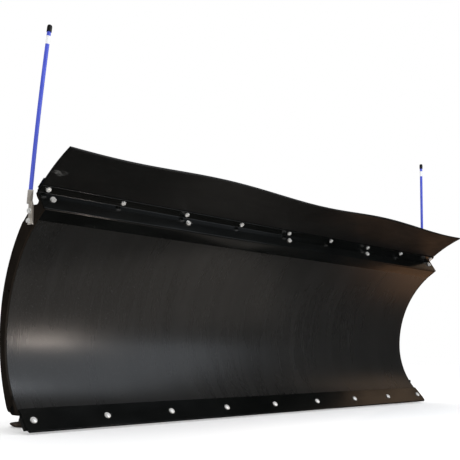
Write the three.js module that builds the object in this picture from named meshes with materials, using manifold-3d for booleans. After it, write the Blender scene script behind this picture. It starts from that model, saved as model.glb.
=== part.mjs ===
// Snow plow blade for an ATV, with a bolt-on wear bar, a rubber snow deflector, two marker rods
// and two height-adjusting skid shoes.
// Millimetres. X runs along the blade, -Y is the way the blade pushes, +Z is up, Z = 0 is the ground.
// While the pieces are made, Y = 0 is the front face of the wear bar at its row of bolts.
// The finished blade is moved in Y so that its origin is under the middle of its box.

import * as THREE from 'three';
import { mergeVertices } from 'three/addons/utils/BufferGeometryUtils.js';
import Module from 'manifold-3d';

const wasm = await Module();
wasm.setup();

// ---------- driving dimensions ----------

const GAP = 0.3; // between pieces that touch
const BLADE_LENGTH = 1676.4; // 66 in
const BOLT_COUNT = 9;
const BOLT_PITCH = 203.2; // 8 in
const END_BOLT_SHIFT = 4; // the first and last bolts of a row sit this much further in
const BOLT_ROW_HEIGHT = 29.8; // wear bar bolts above the ground, with the blade on its shoes

// wear bar
const BAR_ABOVE_BOLTS = 35;
const BAR_BELOW_BOLTS = 30;
const BAR_CORNER = [6, 12]; // cut off each lower corner, along the bar and up it
const BAR_THICKNESS = 6;
const BAR_LEAN = THREE.MathUtils.degToRad(42.6); // from upright, its top to the back

// rolled sheet
const SHEET_THICKNESS = 3;
const FOOT_BELOW_BOLTS = 20; // flat strip behind the bar, measured from the bolt row
const FOOT_ABOVE_BOLTS = 37;
const LOWER_RADIUS = 238;
const UPPER_RADIUS = 330;
const UPPER_SWEEP = THREE.MathUtils.degToRad(53.3);
const LIP_WIDTH = 38;
const LIP_LEAN = THREE.MathUtils.degToRad(57); // from upright, its top to the front
const FLANGE_WIDTH = 54;

// end plates and ribs
const PLATE_THICKNESS = 4.8;
const PLATE_BACK = 119.3; // rearmost edge of an end plate
const PLATE_BACK_HEIGHT = 236;
const RIB_THICKNESS = 6;
const OUTER_RIB_X = 520;
const PIVOT_X = 175; // middle of a pair of pivot ribs
const PIVOT_GAP = 46; // clear width between the two ribs of a pair
const PIVOT_Y = 158;
const PIVOT_Z = 122;
const PIVOT_HOLE = 16.5;
const TUBE_DEPTH = 20;
const TUBE_HEIGHT = 40;
const TUBE_WALL = 2.5;

// deflector
const ANGLE_LONG = 50.8; // leg on the flange
const ANGLE_SHORT = 25.4; // leg that carries the flap
const ANGLE_THICKNESS = 3.2;
const FLAP_WIDTH = 152.4;
const FLAP_THICKNESS = 6;
const FLAP_CLAMPED = 36; // part of the width that can't bend
const FLEX_GAP = 2; // between the clamped edge and the free flap
const FLAP_BOLT_PITCH = 205.2;
const FLAP_DROOP = 8.5; // mean drop of the free edge
const FLAP_WAVE = 8.5; // the free edge waves up and down by this much
const FLAP_WAVE_LENGTH = 725;
const FLAP_WAVE_X = 10; // a lowest point of the wave
const STRIP_LOW = 2; // above the angle's crease
const STRIP_WIDTH = 30;
const STRIP_THICKNESS = 4;
const FLAP_BOLT_HEIGHT = 13.2; // above the angle's crease
const ANGLE_BOLT_HEIGHT = 20; // below the angle's crease

// marker rods
const ROD_DIAMETER = 9.5;
const MARKER_X = 840.5;
const MARKER_Y = -15.9;
const MARKER_Z = 550;
const ROD_LEAN = 0.0641; // run per unit of height at the bracket
const ROD_BEND = 0.0000515; // extra run per unit of height squared
const ROD_INWARD = 0.81; // share of that run which goes inwards
const ROD_FORWARD = 0.58;
const ROD_GRIP = 31; // length held by the bracket
const LEFT_ROD_REACH = 389;
const RIGHT_ROD_REACH = 369;

// skid shoes
const SHOE_X = 736;
const SHOE_Y = 160;
const STEM_RADIUS = 12.5;
const SLEEVE_INNER_RADIUS = 13.1;
const SLEEVE_OUTER_RADIUS = 19;
const SLEEVE_BOTTOM = 62;
const SLEEVE_TOP = 120;
const SHOULDER_HEIGHT = 37.7; // top of the dish, where the washers sit
const STEM_TOP = 178;
const PIN_HEIGHT = 166;

// ---------- materials ----------

function painted(color, roughness) {
  return new THREE.MeshStandardMaterial({ color, roughness, metalness: 0.1 });
}

function metal(color, roughness) {
  return new THREE.MeshStandardMaterial({ color, roughness, metalness: 0.9 });
}

const SATIN_BLACK = [0x232322, 0.45];
const GLOSS_BLACK = [0x101211, 0.25];
const ZINC = [0xbfc0bd, 0.35];
const WORN_STEEL = [0x3a322c, 0.6];

// ---------- solids ----------

function toSolid(geometry) {
  const bare = geometry.clone();
  bare.deleteAttribute('normal');
  bare.deleteAttribute('uv');
  const merged = mergeVertices(bare, 1e-4);
  return new wasm.Manifold(new wasm.Mesh({
    numProp: 3,
    vertProperties: new Float32Array(merged.attributes.position.array),
    triVerts: new Uint32Array(merged.index.array),
  }));
}

function toGeometry(solid) {
  const mesh = solid.getMesh();
  const geometry = new THREE.BufferGeometry();
  geometry.setAttribute('position', new THREE.BufferAttribute(new Float32Array(mesh.vertProperties), 3));
  geometry.setIndex(new THREE.BufferAttribute(new Uint32Array(mesh.triVerts), 1));
  geometry.computeVertexNormals();
  return geometry;
}

function join(...geometries) {
  return toGeometry(geometries.map(toSolid).reduce((sum, solid) => sum.add(solid)));
}

function cut(geometry, ...cutters) {
  return toGeometry(cutters.map(toSolid).reduce((left, cutter) => left.subtract(cutter), toSolid(geometry)));
}

function mirrored(geometry) {
  return toGeometry(toSolid(geometry).mirror([1, 0, 0]));
}

// An outline drawn in the Y-Z plane, extruded along X from low to high.
function extrudeAlongX(outline, low, high, curveSegments = 12) {
  const geometry = new THREE.ExtrudeGeometry(outline, { depth: high - low, bevelEnabled: false, curveSegments });
  const turn = new THREE.Matrix4().makeBasis(
    new THREE.Vector3(0, 1, 0),
    new THREE.Vector3(0, 0, 1),
    new THREE.Vector3(1, 0, 0),
  );
  return geometry.applyMatrix4(turn).translate(low, 0, 0);
}

function polygon(points) {
  return new THREE.Shape(points.map(([y, z]) => new THREE.Vector2(y, z)));
}

function box(low, high) {
  const size = high.map((value, i) => value - low[i]);
  const middle = high.map((value, i) => (value + low[i]) / 2);
  return new THREE.BoxGeometry(...size).translate(...middle);
}

// A cylinder or prism between two points.
function bar(from, to, radius, sides = 16) {
  const start = new THREE.Vector3(...from);
  const run = new THREE.Vector3(...to).sub(start);
  const geometry = new THREE.CylinderGeometry(radius, radius, run.length(), sides);
  geometry.translate(0, run.length() / 2, 0);
  geometry.applyQuaternion(new THREE.Quaternion().setFromUnitVectors(new THREE.Vector3(0, 1, 0), run.normalize()));
  return geometry.translate(start.x, start.y, start.z);
}

// A profile of [radius, height] points, turned about Z.
function turned(profile, segments = 24) {
  const geometry = new THREE.LatheGeometry(profile.map(([r, z]) => new THREE.Vector2(r, z)), segments);
  return geometry.rotateX(Math.PI / 2);
}

const blade = new THREE.Group();
blade.name = 'atv_plow_blade';

function add(parent, name, geometry, material) {
  const mesh = new THREE.Mesh(geometry, material);
  mesh.name = name;
  parent.add(mesh);
  return mesh;
}

function boltRow(pitch, endShift) {
  return Array.from({ length: BOLT_COUNT }, (_, i) => {
    const x = (i - (BOLT_COUNT - 1) / 2) * pitch;
    const isEnd = i === 0 || i === BOLT_COUNT - 1;
    return isEnd ? x - Math.sign(x) * endShift : x;
  });
}

const boltPlaces = boltRow(BOLT_PITCH, END_BOLT_SHIFT);
const flapBoltPlaces = boltRow(FLAP_BOLT_PITCH, 0);
const everySecondPlace = boltPlaces.filter((_, i) => i % 2 === 0);
const HALF = BLADE_LENGTH / 2;
const INNER_HALF = HALF - PLATE_THICKNESS - GAP; // half length of what fits between the end plates

// ---------- the section of the sheet ----------

// wear bar frame: origin on the bar's front face at the bolts, Y through the bar, Z up the bar
const wearFrame = new THREE.Group();
wearFrame.position.set(0, 0, BOLT_ROW_HEIGHT);
wearFrame.rotation.x = -BAR_LEAN;
wearFrame.updateMatrix();
blade.add(wearFrame);

function fromWearFrame(y, z) {
  const point = new THREE.Vector3(0, y, z).applyMatrix4(wearFrame.matrix);
  return [point.y, point.z];
}

const sheetFront = BAR_THICKNESS + GAP; // in the wear bar frame
const [footY, footZ] = fromWearFrame(sheetFront, FOOT_ABOVE_BOLTS);
const lowerCentreY = footY - LOWER_RADIUS * Math.cos(BAR_LEAN);
const arcHeight = footZ + LOWER_RADIUS * Math.sin(BAR_LEAN);
const upperCentreY = lowerCentreY + LOWER_RADIUS - UPPER_RADIUS;
const creaseY = upperCentreY + UPPER_RADIUS * Math.cos(UPPER_SWEEP);
const creaseZ = arcHeight + UPPER_RADIUS * Math.sin(UPPER_SWEEP);
const up = [-Math.sin(LIP_LEAN), Math.cos(LIP_LEAN)]; // along the lip, forward and up
const over = [Math.cos(LIP_LEAN), Math.sin(LIP_LEAN)]; // square to the lip, back and up
const hemY = creaseY + LIP_WIDTH * up[0];
const hemZ = creaseZ + LIP_WIDTH * up[1];

// a point measured from the hem, along the lip and square to it
function fromHem(alongUp, alongOver) {
  return [
    hemY + alongUp * up[0] + alongOver * over[0],
    hemZ + alongUp * up[1] + alongOver * over[1],
  ];
}

// the front face from the bar up to the hem, pushed back by an offset
function traceFaceUp(outline, offset) {
  outline.absarc(lowerCentreY, arcHeight, LOWER_RADIUS + offset, -BAR_LEAN, 0, false);
  outline.absarc(upperCentreY, arcHeight, UPPER_RADIUS + offset, 0, UPPER_SWEEP, false);
}

function traceFaceDown(outline, offset) {
  outline.absarc(upperCentreY, arcHeight, UPPER_RADIUS + offset, UPPER_SWEEP, 0, true);
  outline.absarc(lowerCentreY, arcHeight, LOWER_RADIUS + offset, 0, -BAR_LEAN, true);
}

function sheetOutline() {
  const outline = new THREE.Shape();
  outline.moveTo(...fromWearFrame(sheetFront, -FOOT_BELOW_BOLTS));
  traceFaceUp(outline, 0);
  outline.lineTo(hemY, hemZ);
  outline.lineTo(...fromHem(0, FLANGE_WIDTH));
  outline.lineTo(...fromHem(-SHEET_THICKNESS, FLANGE_WIDTH));
  outline.lineTo(...fromHem(-SHEET_THICKNESS, SHEET_THICKNESS));
  traceFaceDown(outline, SHEET_THICKNESS);
  outline.lineTo(...fromWearFrame(sheetFront + SHEET_THICKNESS, -FOOT_BELOW_BOLTS));
  return outline;
}

// deflector frame: origin at the crease between the angle's visible faces,
// Y square to the flap towards the back, Z along the flap towards its free edge
const creaseOver = ANGLE_LONG - ANGLE_THICKNESS;
const deflectorFrame = new THREE.Group();
const [deflectorY, deflectorZ] = fromHem(ANGLE_THICKNESS + GAP, creaseOver);
deflectorFrame.position.set(0, deflectorY, deflectorZ);
deflectorFrame.rotation.x = LIP_LEAN;
deflectorFrame.updateMatrix();
blade.add(deflectorFrame);

const HOLE_SIDES = 8;
const WEAR_HOLE = 4.5; // radius
const FLAP_HOLE = 3.6;
const ANGLE_HOLE = 4.5;

const sheetHoles = [
  ...boltPlaces.map((x) => bar([x, 0, 0], [x, 20, 0], WEAR_HOLE, HOLE_SIDES).applyMatrix4(wearFrame.matrix)),
  ...everySecondPlace.map((x) => (
    bar([x, -ANGLE_BOLT_HEIGHT, 0], [x, -ANGLE_BOLT_HEIGHT, -10], ANGLE_HOLE, HOLE_SIDES).applyMatrix4(deflectorFrame.matrix)
  )),
];
const sheet = cut(extrudeAlongX(sheetOutline(), -INNER_HALF, INNER_HALF, 10), ...sheetHoles);
add(blade, 'moldboard_sheet', sheet, painted(...SATIN_BLACK));

// ---------- end plates ----------

function endPlateOutline() {
  const outline = new THREE.Shape();
  const frontCorner = fromWearFrame(sheetFront, 20);
  outline.moveTo(...frontCorner);
  traceFaceUp(outline, 0);
  outline.lineTo(hemY, hemZ);
  outline.lineTo(...fromHem(0, FLANGE_WIDTH));
  outline.lineTo(...fromHem(-8, FLANGE_WIDTH - 0.7));
  outline.lineTo(...fromHem(-9, 43));
  outline.lineTo(...fromHem(-7.5, 31));
  outline.quadraticCurveTo(-46.5, 514, -39.5, 513.8);
  outline.lineTo(-22, 515.6);
  outline.lineTo(-1, 499);
  outline.lineTo(20, 483);
  const backRadius = 362;
  const top = Math.asin((483 - PLATE_BACK_HEIGHT) / backRadius);
  outline.absarc(PLATE_BACK - backRadius, PLATE_BACK_HEIGHT, backRadius, top, 0, true);
  outline.quadraticCurveTo(PLATE_BACK, 140, 74, 56);
  outline.quadraticCurveTo(68, 45.5, 56, 45.3);
  outline.lineTo(47, 40.3);
  return outline;
}

// A slot in the outer side of an end plate that doesn't go right through.
function pocket(y, z, width, height, lean) {
  const depth = PLATE_THICKNESS / 2;
  return new THREE.BoxGeometry(2 * depth, width, height).rotateX(-lean).translate(HALF, y, z);
}

const markerBolts = [
  { y: -18, z: 502 },
  { y: -15, z: 479.5 },
];
const plateHoles = [
  ...markerBolts.map(({ y, z }) => bar([HALF - 10, y, z], [HALF + 10, y, z], 3.6, HOLE_SIDES)),
  bar([HALF - 10, 79, 325], [HALF + 10, 79, 325], 4, 12),
  pocket(48, 79.2, 5, 9.5, 0.25),
  pocket(45.8, 52, 13, 18, 0.64),
];
const rightPlate = cut(extrudeAlongX(endPlateOutline(), HALF - PLATE_THICKNESS, HALF, 10), ...plateHoles);
add(blade, 'right_end_plate', rightPlate, painted(...GLOSS_BLACK));
add(blade, 'left_end_plate', mirrored(rightPlate), painted(...GLOSS_BLACK));

// ---------- ribs, cross tube and backing bar ----------

const ribFront = SHEET_THICKNESS + GAP;
const tubeFront = lowerCentreY + LOWER_RADIUS + SHEET_THICKNESS + GAP;
const TUBE_LOW = arcHeight - TUBE_HEIGHT / 2;

function ribOutline(backPoints) {
  const outline = new THREE.Shape();
  const low = -Math.asin((arcHeight - 66) / (LOWER_RADIUS + ribFront));
  const high = UPPER_SWEEP - 0.12;
  outline.absarc(lowerCentreY, arcHeight, LOWER_RADIUS + ribFront, low, 0, false);
  outline.absarc(upperCentreY, arcHeight, UPPER_RADIUS + ribFront, 0, high, false);
  backPoints.forEach(([y, z]) => outline.lineTo(y, z));
  return outline;
}

const tubeClearance = box(
  [-HALF, tubeFront - 10, TUBE_LOW - GAP],
  [HALF, tubeFront + TUBE_DEPTH + GAP, TUBE_LOW + TUBE_HEIGHT + GAP],
);

function plainRib(x) {
  const back = [[28, 470], [128, 300], [128, 120], [92, 66]];
  return cut(extrudeAlongX(ribOutline(back), x - RIB_THICKNESS / 2, x + RIB_THICKNESS / 2, 9), tubeClearance);
}

function pivotRib(x) {
  const back = [[28, 470], [142, 330], [150, 200], [178, 146], [182, 122], [178, 100], [158, 92], [92, 66]];
  const plate = extrudeAlongX(ribOutline(back), x - RIB_THICKNESS / 2, x + RIB_THICKNESS / 2, 9);
  const pivotHole = bar([x - 9, PIVOT_Y, PIVOT_Z], [x + 9, PIVOT_Y, PIVOT_Z], PIVOT_HOLE / 2, 20);
  const springHole = bar([x - 9, 122, 316], [x + 9, 122, 316], 6, 14);
  return cut(plate, tubeClearance, pivotHole, springHole);
}

add(blade, 'left_outer_rib', plainRib(-OUTER_RIB_X), painted(...SATIN_BLACK));
add(blade, 'right_outer_rib', plainRib(OUTER_RIB_X), painted(...SATIN_BLACK));
const ribStep = (PIVOT_GAP + RIB_THICKNESS) / 2;
[['left', -1], ['right', 1]].forEach(([side, sign]) => {
  add(blade, `${side}_pivot_rib_outer`, pivotRib(sign * (PIVOT_X + ribStep)), painted(...SATIN_BLACK));
  add(blade, `${side}_pivot_rib_inner`, pivotRib(sign * (PIVOT_X - ribStep)), painted(...SATIN_BLACK));
});

const tubeOuter = box(
  [-INNER_HALF, tubeFront, TUBE_LOW],
  [INNER_HALF, tubeFront + TUBE_DEPTH, TUBE_LOW + TUBE_HEIGHT],
);
const tubeInner = box(
  [-HALF, tubeFront + TUBE_WALL, TUBE_LOW + TUBE_WALL],
  [HALF, tubeFront + TUBE_DEPTH - TUBE_WALL, TUBE_LOW + TUBE_HEIGHT - TUBE_WALL],
);
add(blade, 'rear_cross_tube', cut(tubeOuter, tubeInner), painted(...SATIN_BLACK));

const backingFront = sheetFront + SHEET_THICKNESS + GAP;
const BACKING_THICKNESS = 6;
const backing = cut(
  box([-INNER_HALF, backingFront, -17], [INNER_HALF, backingFront + BACKING_THICKNESS, 18]),
  ...boltPlaces.map((x) => bar([x, 0, 0], [x, 30, 0], WEAR_HOLE, HOLE_SIDES)),
);
add(wearFrame, 'wear_bar_backing', backing, painted(...SATIN_BLACK));

// ---------- wear bar and its bolts ----------

function wearBarOutline() {
  const [cornerAlong, cornerUp] = BAR_CORNER;
  return polygon([
    [-INNER_HALF, BAR_ABOVE_BOLTS],
    [-INNER_HALF, cornerUp - BAR_BELOW_BOLTS],
    [cornerAlong - INNER_HALF, -BAR_BELOW_BOLTS],
    [INNER_HALF - cornerAlong, -BAR_BELOW_BOLTS],
    [INNER_HALF, cornerUp - BAR_BELOW_BOLTS],
    [INNER_HALF, BAR_ABOVE_BOLTS],
  ]);
}

const barBlank = new THREE.ExtrudeGeometry(wearBarOutline(), { depth: BAR_THICKNESS, bevelEnabled: false });
barBlank.rotateX(Math.PI / 2).translate(0, BAR_THICKNESS, 0);
const wearBar = cut(
  barBlank,
  ...boltPlaces.map((x) => bar([x, -5, 0], [x, 20, 0], WEAR_HOLE, HOLE_SIDES)),
);
add(wearFrame, 'wear_bar', wearBar, painted(...GLOSS_BLACK));

// A hexagon across its flats, from one height along Y to another.
function hexagon(acrossFlats, from, to) {
  return bar([0, from, 0], [0, to, 0], acrossFlats / Math.sqrt(3), 6);
}

// Domed head at -Y, shank through the grip, nut at +Y.
function carriageBolt(grip) {
  const headRadius = 8.6;
  const headHeight = 4.4;
  const dome = turned([
    [0, 0],
    [headRadius, 0],
    [headRadius * 0.93, 0.35 * headHeight],
    [headRadius * 0.62, 0.8 * headHeight],
    [0, headHeight],
  ], 12);
  dome.rotateX(Math.PI / 2).translate(0, -GAP, 0);
  const shank = bar([0, -2, 0], [0, grip + 9, 0], 3.9, HOLE_SIDES);
  return join(dome, shank, hexagon(12.7, grip + GAP, grip + GAP + 6.7));
}

const wearBolt = carriageBolt(backingFront + BACKING_THICKNESS);
boltPlaces.forEach((x, i) => {
  add(wearFrame, `wear_bolt_${i + 1}`, wearBolt, metal(...ZINC)).position.x = x;
});

// ---------- deflector ----------

const angleOutline = polygon([
  [-creaseOver, -ANGLE_THICKNESS],
  [ANGLE_THICKNESS, -ANGLE_THICKNESS],
  [ANGLE_THICKNESS, ANGLE_SHORT - ANGLE_THICKNESS],
  [0, ANGLE_SHORT - ANGLE_THICKNESS],
  [0, 0],
  [-creaseOver, 0],
]);
const angle = cut(
  extrudeAlongX(angleOutline, -HALF, HALF),
  ...flapBoltPlaces.map((x) => bar([x, -5, FLAP_BOLT_HEIGHT], [x, 10, FLAP_BOLT_HEIGHT], FLAP_HOLE, HOLE_SIDES)),
  ...everySecondPlace.map((x) => bar([x, -ANGLE_BOLT_HEIGHT, -9], [x, -ANGLE_BOLT_HEIGHT, 5], ANGLE_HOLE, HOLE_SIDES)),
);
add(deflectorFrame, 'deflector_angle', angle, painted(...GLOSS_BLACK));

const flapFront = ANGLE_THICKNESS + GAP;
const flapLow = -ANGLE_THICKNESS;
const clampTop = flapLow + FLAP_CLAMPED;
const flapHoles = flapBoltPlaces.map((x) => bar([x, 0, FLAP_BOLT_HEIGHT], [x, 30, FLAP_BOLT_HEIGHT], FLAP_HOLE, HOLE_SIDES));
const clampedEdge = cut(box([-HALF, flapFront, flapLow], [HALF, flapFront + FLAP_THICKNESS, clampTop]), ...flapHoles);
add(deflectorFrame, 'deflector_flap_clamped_edge', clampedEdge, painted(0x1b1a19, 0.6));

// The free part of the flap, which bends down towards its edge and waves along the blade.
function freeFlap() {
  const low = clampTop + FLEX_GAP;
  const high = flapLow + FLAP_WIDTH;
  const geometry = new THREE.BoxGeometry(BLADE_LENGTH, FLAP_THICKNESS, high - low, 40, 1, 3);
  geometry.translate(0, flapFront + FLAP_THICKNESS / 2, (low + high) / 2);
  const position = geometry.attributes.position;
  for (let i = 0; i < position.count; i += 1) {
    const along = (position.getZ(i) - low) / (high - low);
    const phase = (2 * Math.PI * (position.getX(i) - FLAP_WAVE_X)) / FLAP_WAVE_LENGTH;
    const drop = FLAP_DROOP + FLAP_WAVE * Math.cos(phase);
    position.setY(i, position.getY(i) - drop * along * along);
  }
  return toGeometry(toSolid(geometry));
}
add(deflectorFrame, 'deflector_flap', freeFlap(), painted(0x1b1a19, 0.6));

const stripFront = flapFront + FLAP_THICKNESS + GAP;
const backingStrip = cut(
  box([-HALF, stripFront, STRIP_LOW], [HALF, stripFront + STRIP_THICKNESS, STRIP_LOW + STRIP_WIDTH]),
  ...flapHoles,
);
add(deflectorFrame, 'deflector_backing_strip', backingStrip, painted(...GLOSS_BLACK));

// Hexagon head at -Y, shank through the grip, nut at +Y.
function hexBolt(acrossFlats, headHeight, shankRadius, grip, nutHeight) {
  return join(
    hexagon(acrossFlats, -headHeight - GAP, -GAP),
    bar([0, -2, 0], [0, grip + nutHeight + 3, 0], shankRadius, HOLE_SIDES),
    hexagon(acrossFlats, grip + GAP, grip + GAP + nutHeight),
  );
}

const flapBolt = hexBolt(11.1, 4.2, 3.1, stripFront + STRIP_THICKNESS, 5.6);
flapBoltPlaces.forEach((x, i) => {
  add(deflectorFrame, `flap_bolt_${i + 1}`, flapBolt, metal(...ZINC)).position.set(x, 0, FLAP_BOLT_HEIGHT);
});

const angleBolt = hexBolt(12.7, 5.3, 3.9, ANGLE_THICKNESS + GAP + SHEET_THICKNESS, 6.7);
everySecondPlace.forEach((x, i) => {
  const bolt = add(deflectorFrame, `angle_bolt_${i + 1}`, angleBolt, metal(...ZINC));
  bolt.position.set(x, -ANGLE_BOLT_HEIGHT, 0);
  bolt.rotation.x = -Math.PI / 2;
});

// ---------- marker rods ----------

// a point on the right-hand rod's axis, at a height above the top of its bracket
function onRod(height) {
  const run = ROD_LEAN * height + ROD_BEND * height * height;
  return new THREE.Vector3(MARKER_X - ROD_INWARD * run, MARKER_Y - ROD_FORWARD * run, MARKER_Z + height);
}

// A round bar that follows the rod's axis from one height to another.
function alongRod(from, to, radius, steps, sides = 16) {
  const points = Array.from({ length: steps + 1 }, (_, i) => onRod(from + ((to - from) * i) / steps));
  const outline = new THREE.Shape().absarc(0, 0, radius, 0, 2 * Math.PI, false);
  return new THREE.ExtrudeGeometry(outline, {
    steps,
    curveSegments: sides / 2,
    bevelEnabled: false,
    extrudePath: new THREE.CatmullRomCurve3(points),
  });
}

const TAB_THICKNESS = 4; // the folded strip's two layers
const tabInner = HALF + GAP;

function markerBracket() {
  const fold = alongRod(-ROD_GRIP, 0, 6.4, 1);
  const neck = alongRod(-ROD_GRIP - 9, -ROD_GRIP + 4, 3.6, 1);
  const tabOutline = polygon([[-29, 470], [-29.5, 520], [-20, 534], [-12, 534], [-10.5, 500], [-8, 471]]);
  const tab = extrudeAlongX(tabOutline, tabInner, tabInner + TAB_THICKNESS);
  const rodHole = alongRod(-ROD_GRIP - 0.5, 20, ROD_DIAMETER / 2 + GAP, 2);
  const boltHoles = markerBolts.map(({ y, z }) => bar([HALF - 9, y, z], [HALF + 19, y, z], 3.6, HOLE_SIDES));
  return cut(join(fold, neck, tab), rodHole, ...boltHoles);
}

function markerCap(reach) {
  const inner = ROD_DIAMETER / 2 + GAP;
  const cap = turned([
    [0, -GAP],
    [inner, -GAP],
    [inner, -14],
    [5.8, -14],
    [5.8, 0],
    [4.6, 2.4],
    [2.6, 3.6],
    [0, 4],
  ], 16);
  const tip = onRod(reach);
  const direction = tip.clone().sub(onRod(reach - 10)).normalize();
  cap.applyQuaternion(new THREE.Quaternion().setFromUnitVectors(new THREE.Vector3(0, 0, 1), direction));
  tip.addScaledVector(direction, 2 * GAP);
  return cap.translate(tip.x, tip.y, tip.z);
}

// Washer-faced head outside, nut against the inner side of the end plate.
function markerBolt({ y, z }) {
  const outside = tabInner + TAB_THICKNESS + GAP;
  const inside = HALF - PLATE_THICKNESS - GAP;
  const across = 10 / Math.sqrt(3);
  return join(
    bar([outside, y, z], [outside + 4.2, y, z], across, 6),
    bar([inside - 9, y, z], [outside + 1, y, z], 3, HOLE_SIDES),
    bar([inside - 5.5, y, z], [inside, y, z], across, 6),
  );
}

function addMarker(side, reach, place) {
  add(blade, `${side}_marker_bracket`, place(markerBracket()), metal(...ZINC));
  const rod = alongRod(-ROD_GRIP, reach, ROD_DIAMETER / 2, 8);
  add(blade, `${side}_marker_rod`, place(rod), painted(0x3c4bbe, 0.4));
  add(blade, `${side}_marker_cap`, place(markerCap(reach)), painted(0x141312, 0.6));
  markerBolts.forEach((bolt, i) => {
    add(blade, `${side}_marker_bolt_${i + 1}`, place(markerBolt(bolt)), metal(...ZINC));
  });
}

addMarker('right', RIGHT_ROD_REACH, (geometry) => toGeometry(toSolid(geometry)));
addMarker('left', LEFT_ROD_REACH, mirrored);

// ---------- skid shoes ----------

function shoeBracket(x) {
  const outline = new THREE.Shape();
  const radius = LOWER_RADIUS + ribFront;
  const low = -Math.asin((arcHeight - 66) / radius);
  const high = -Math.asin((arcHeight - 156) / radius);
  outline.absarc(lowerCentreY, arcHeight, radius, low, high, false);
  outline.lineTo(108, 114);
  outline.lineTo(SHOE_Y - 12, SLEEVE_TOP - 10);
  outline.lineTo(SHOE_Y - 12, 66);
  const gusset = extrudeAlongX(outline, x - 4, x + 4, 4);
  const sleeve = bar([x, SHOE_Y, SLEEVE_BOTTOM], [x, SHOE_Y, SLEEVE_TOP], SLEEVE_OUTER_RADIUS, 24);
  const bore = bar([x, SHOE_Y, SLEEVE_BOTTOM - 5], [x, SHOE_Y, SLEEVE_TOP + 5], SLEEVE_INNER_RADIUS, 24);
  return cut(join(gusset, sleeve), bore);
}

// Dished foot with a turned-up rim, a cone up to the shoulder, and the stem.
function skidShoe(x) {
  const body = turned([
    [0, 0],
    [31, 0],
    [38, 2.5],
    [43, 7.5],
    [41, 9.5],
    [35, 5.5],
    [25, 7],
    [19, SHOULDER_HEIGHT - 6],
    [18, SHOULDER_HEIGHT],
    [STEM_RADIUS, SHOULDER_HEIGHT],
    [STEM_RADIUS, STEM_TOP - 2],
    [STEM_RADIUS - 2, STEM_TOP],
    [0, STEM_TOP],
  ], 24);
  body.translate(x, SHOE_Y, 0);
  return cut(body, bar([x - 20, SHOE_Y, PIN_HEIGHT], [x + 20, SHOE_Y, PIN_HEIGHT], 3.6, 12));
}

// A stack of flat washers, held together under the sleeve.
function shoeWashers(x) {
  const count = 5;
  const low = SHOULDER_HEIGHT + GAP;
  const high = SLEEVE_BOTTOM - GAP;
  const step = (high - low) / count;
  const inner = STEM_RADIUS + GAP;
  const profile = [[inner, low]];
  for (let i = 0; i < count; i += 1) {
    profile.push([18, low + i * step], [18, low + (i + 0.8) * step], [16.8, low + (i + 0.9) * step]);
  }
  profile.push([16.8, high], [inner, high], [inner, low]);
  return turned(profile, 16).translate(x, SHOE_Y, 0);
}

// A straight pin through the stem with a ring at one end.
function shoePin(x) {
  const pin = bar([x - 21, SHOE_Y, PIN_HEIGHT], [x + 22, SHOE_Y, PIN_HEIGHT], 3.2, 12);
  const ring = new THREE.TorusGeometry(9, 1.6, 6, 16).rotateX(Math.PI / 2);
  ring.translate(x + 30, SHOE_Y, PIN_HEIGHT);
  return join(pin, ring);
}

[['left', -SHOE_X], ['right', SHOE_X]].forEach(([side, x]) => {
  add(blade, `${side}_shoe_bracket`, shoeBracket(x), painted(...SATIN_BLACK));
  add(blade, `${side}_shoe_washers`, shoeWashers(x), metal(...ZINC));
  add(blade, `${side}_skid_shoe`, skidShoe(x), metal(...WORN_STEEL));
  add(blade, `${side}_shoe_pin`, shoePin(x), metal(...ZINC));
});

// ---------- origin under the middle of the box ----------

blade.updateMatrixWorld(true);
const whole = new THREE.Box3().setFromObject(blade, true);
blade.position.y = -(whole.min.y + whole.max.y) / 2;
blade.position.z = -whole.min.z;

export default blade;
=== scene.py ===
"""Finished surfaces for the ATV plow blade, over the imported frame. Metres, +Z up, -Y is the front."""

import math

import bmesh
import bpy
from mathutils import Matrix, Vector


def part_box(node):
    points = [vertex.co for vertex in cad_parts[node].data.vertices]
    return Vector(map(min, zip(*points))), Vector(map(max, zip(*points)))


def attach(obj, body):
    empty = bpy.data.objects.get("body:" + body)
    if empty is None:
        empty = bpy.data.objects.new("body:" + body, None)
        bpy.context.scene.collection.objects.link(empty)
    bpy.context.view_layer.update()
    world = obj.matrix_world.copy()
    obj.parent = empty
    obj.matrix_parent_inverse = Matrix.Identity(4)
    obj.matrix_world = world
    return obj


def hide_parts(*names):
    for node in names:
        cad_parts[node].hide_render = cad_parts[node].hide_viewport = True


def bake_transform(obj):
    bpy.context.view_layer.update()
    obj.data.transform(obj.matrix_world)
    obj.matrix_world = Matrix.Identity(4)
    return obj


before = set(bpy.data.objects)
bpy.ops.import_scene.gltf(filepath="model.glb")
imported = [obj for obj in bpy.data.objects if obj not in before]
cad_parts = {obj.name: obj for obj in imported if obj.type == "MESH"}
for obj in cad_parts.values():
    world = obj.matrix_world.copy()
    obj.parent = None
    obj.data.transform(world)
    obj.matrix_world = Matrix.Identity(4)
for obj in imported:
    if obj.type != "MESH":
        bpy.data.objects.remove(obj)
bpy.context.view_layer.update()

# ---------- driving dimensions, as in the CAD model ----------

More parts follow.
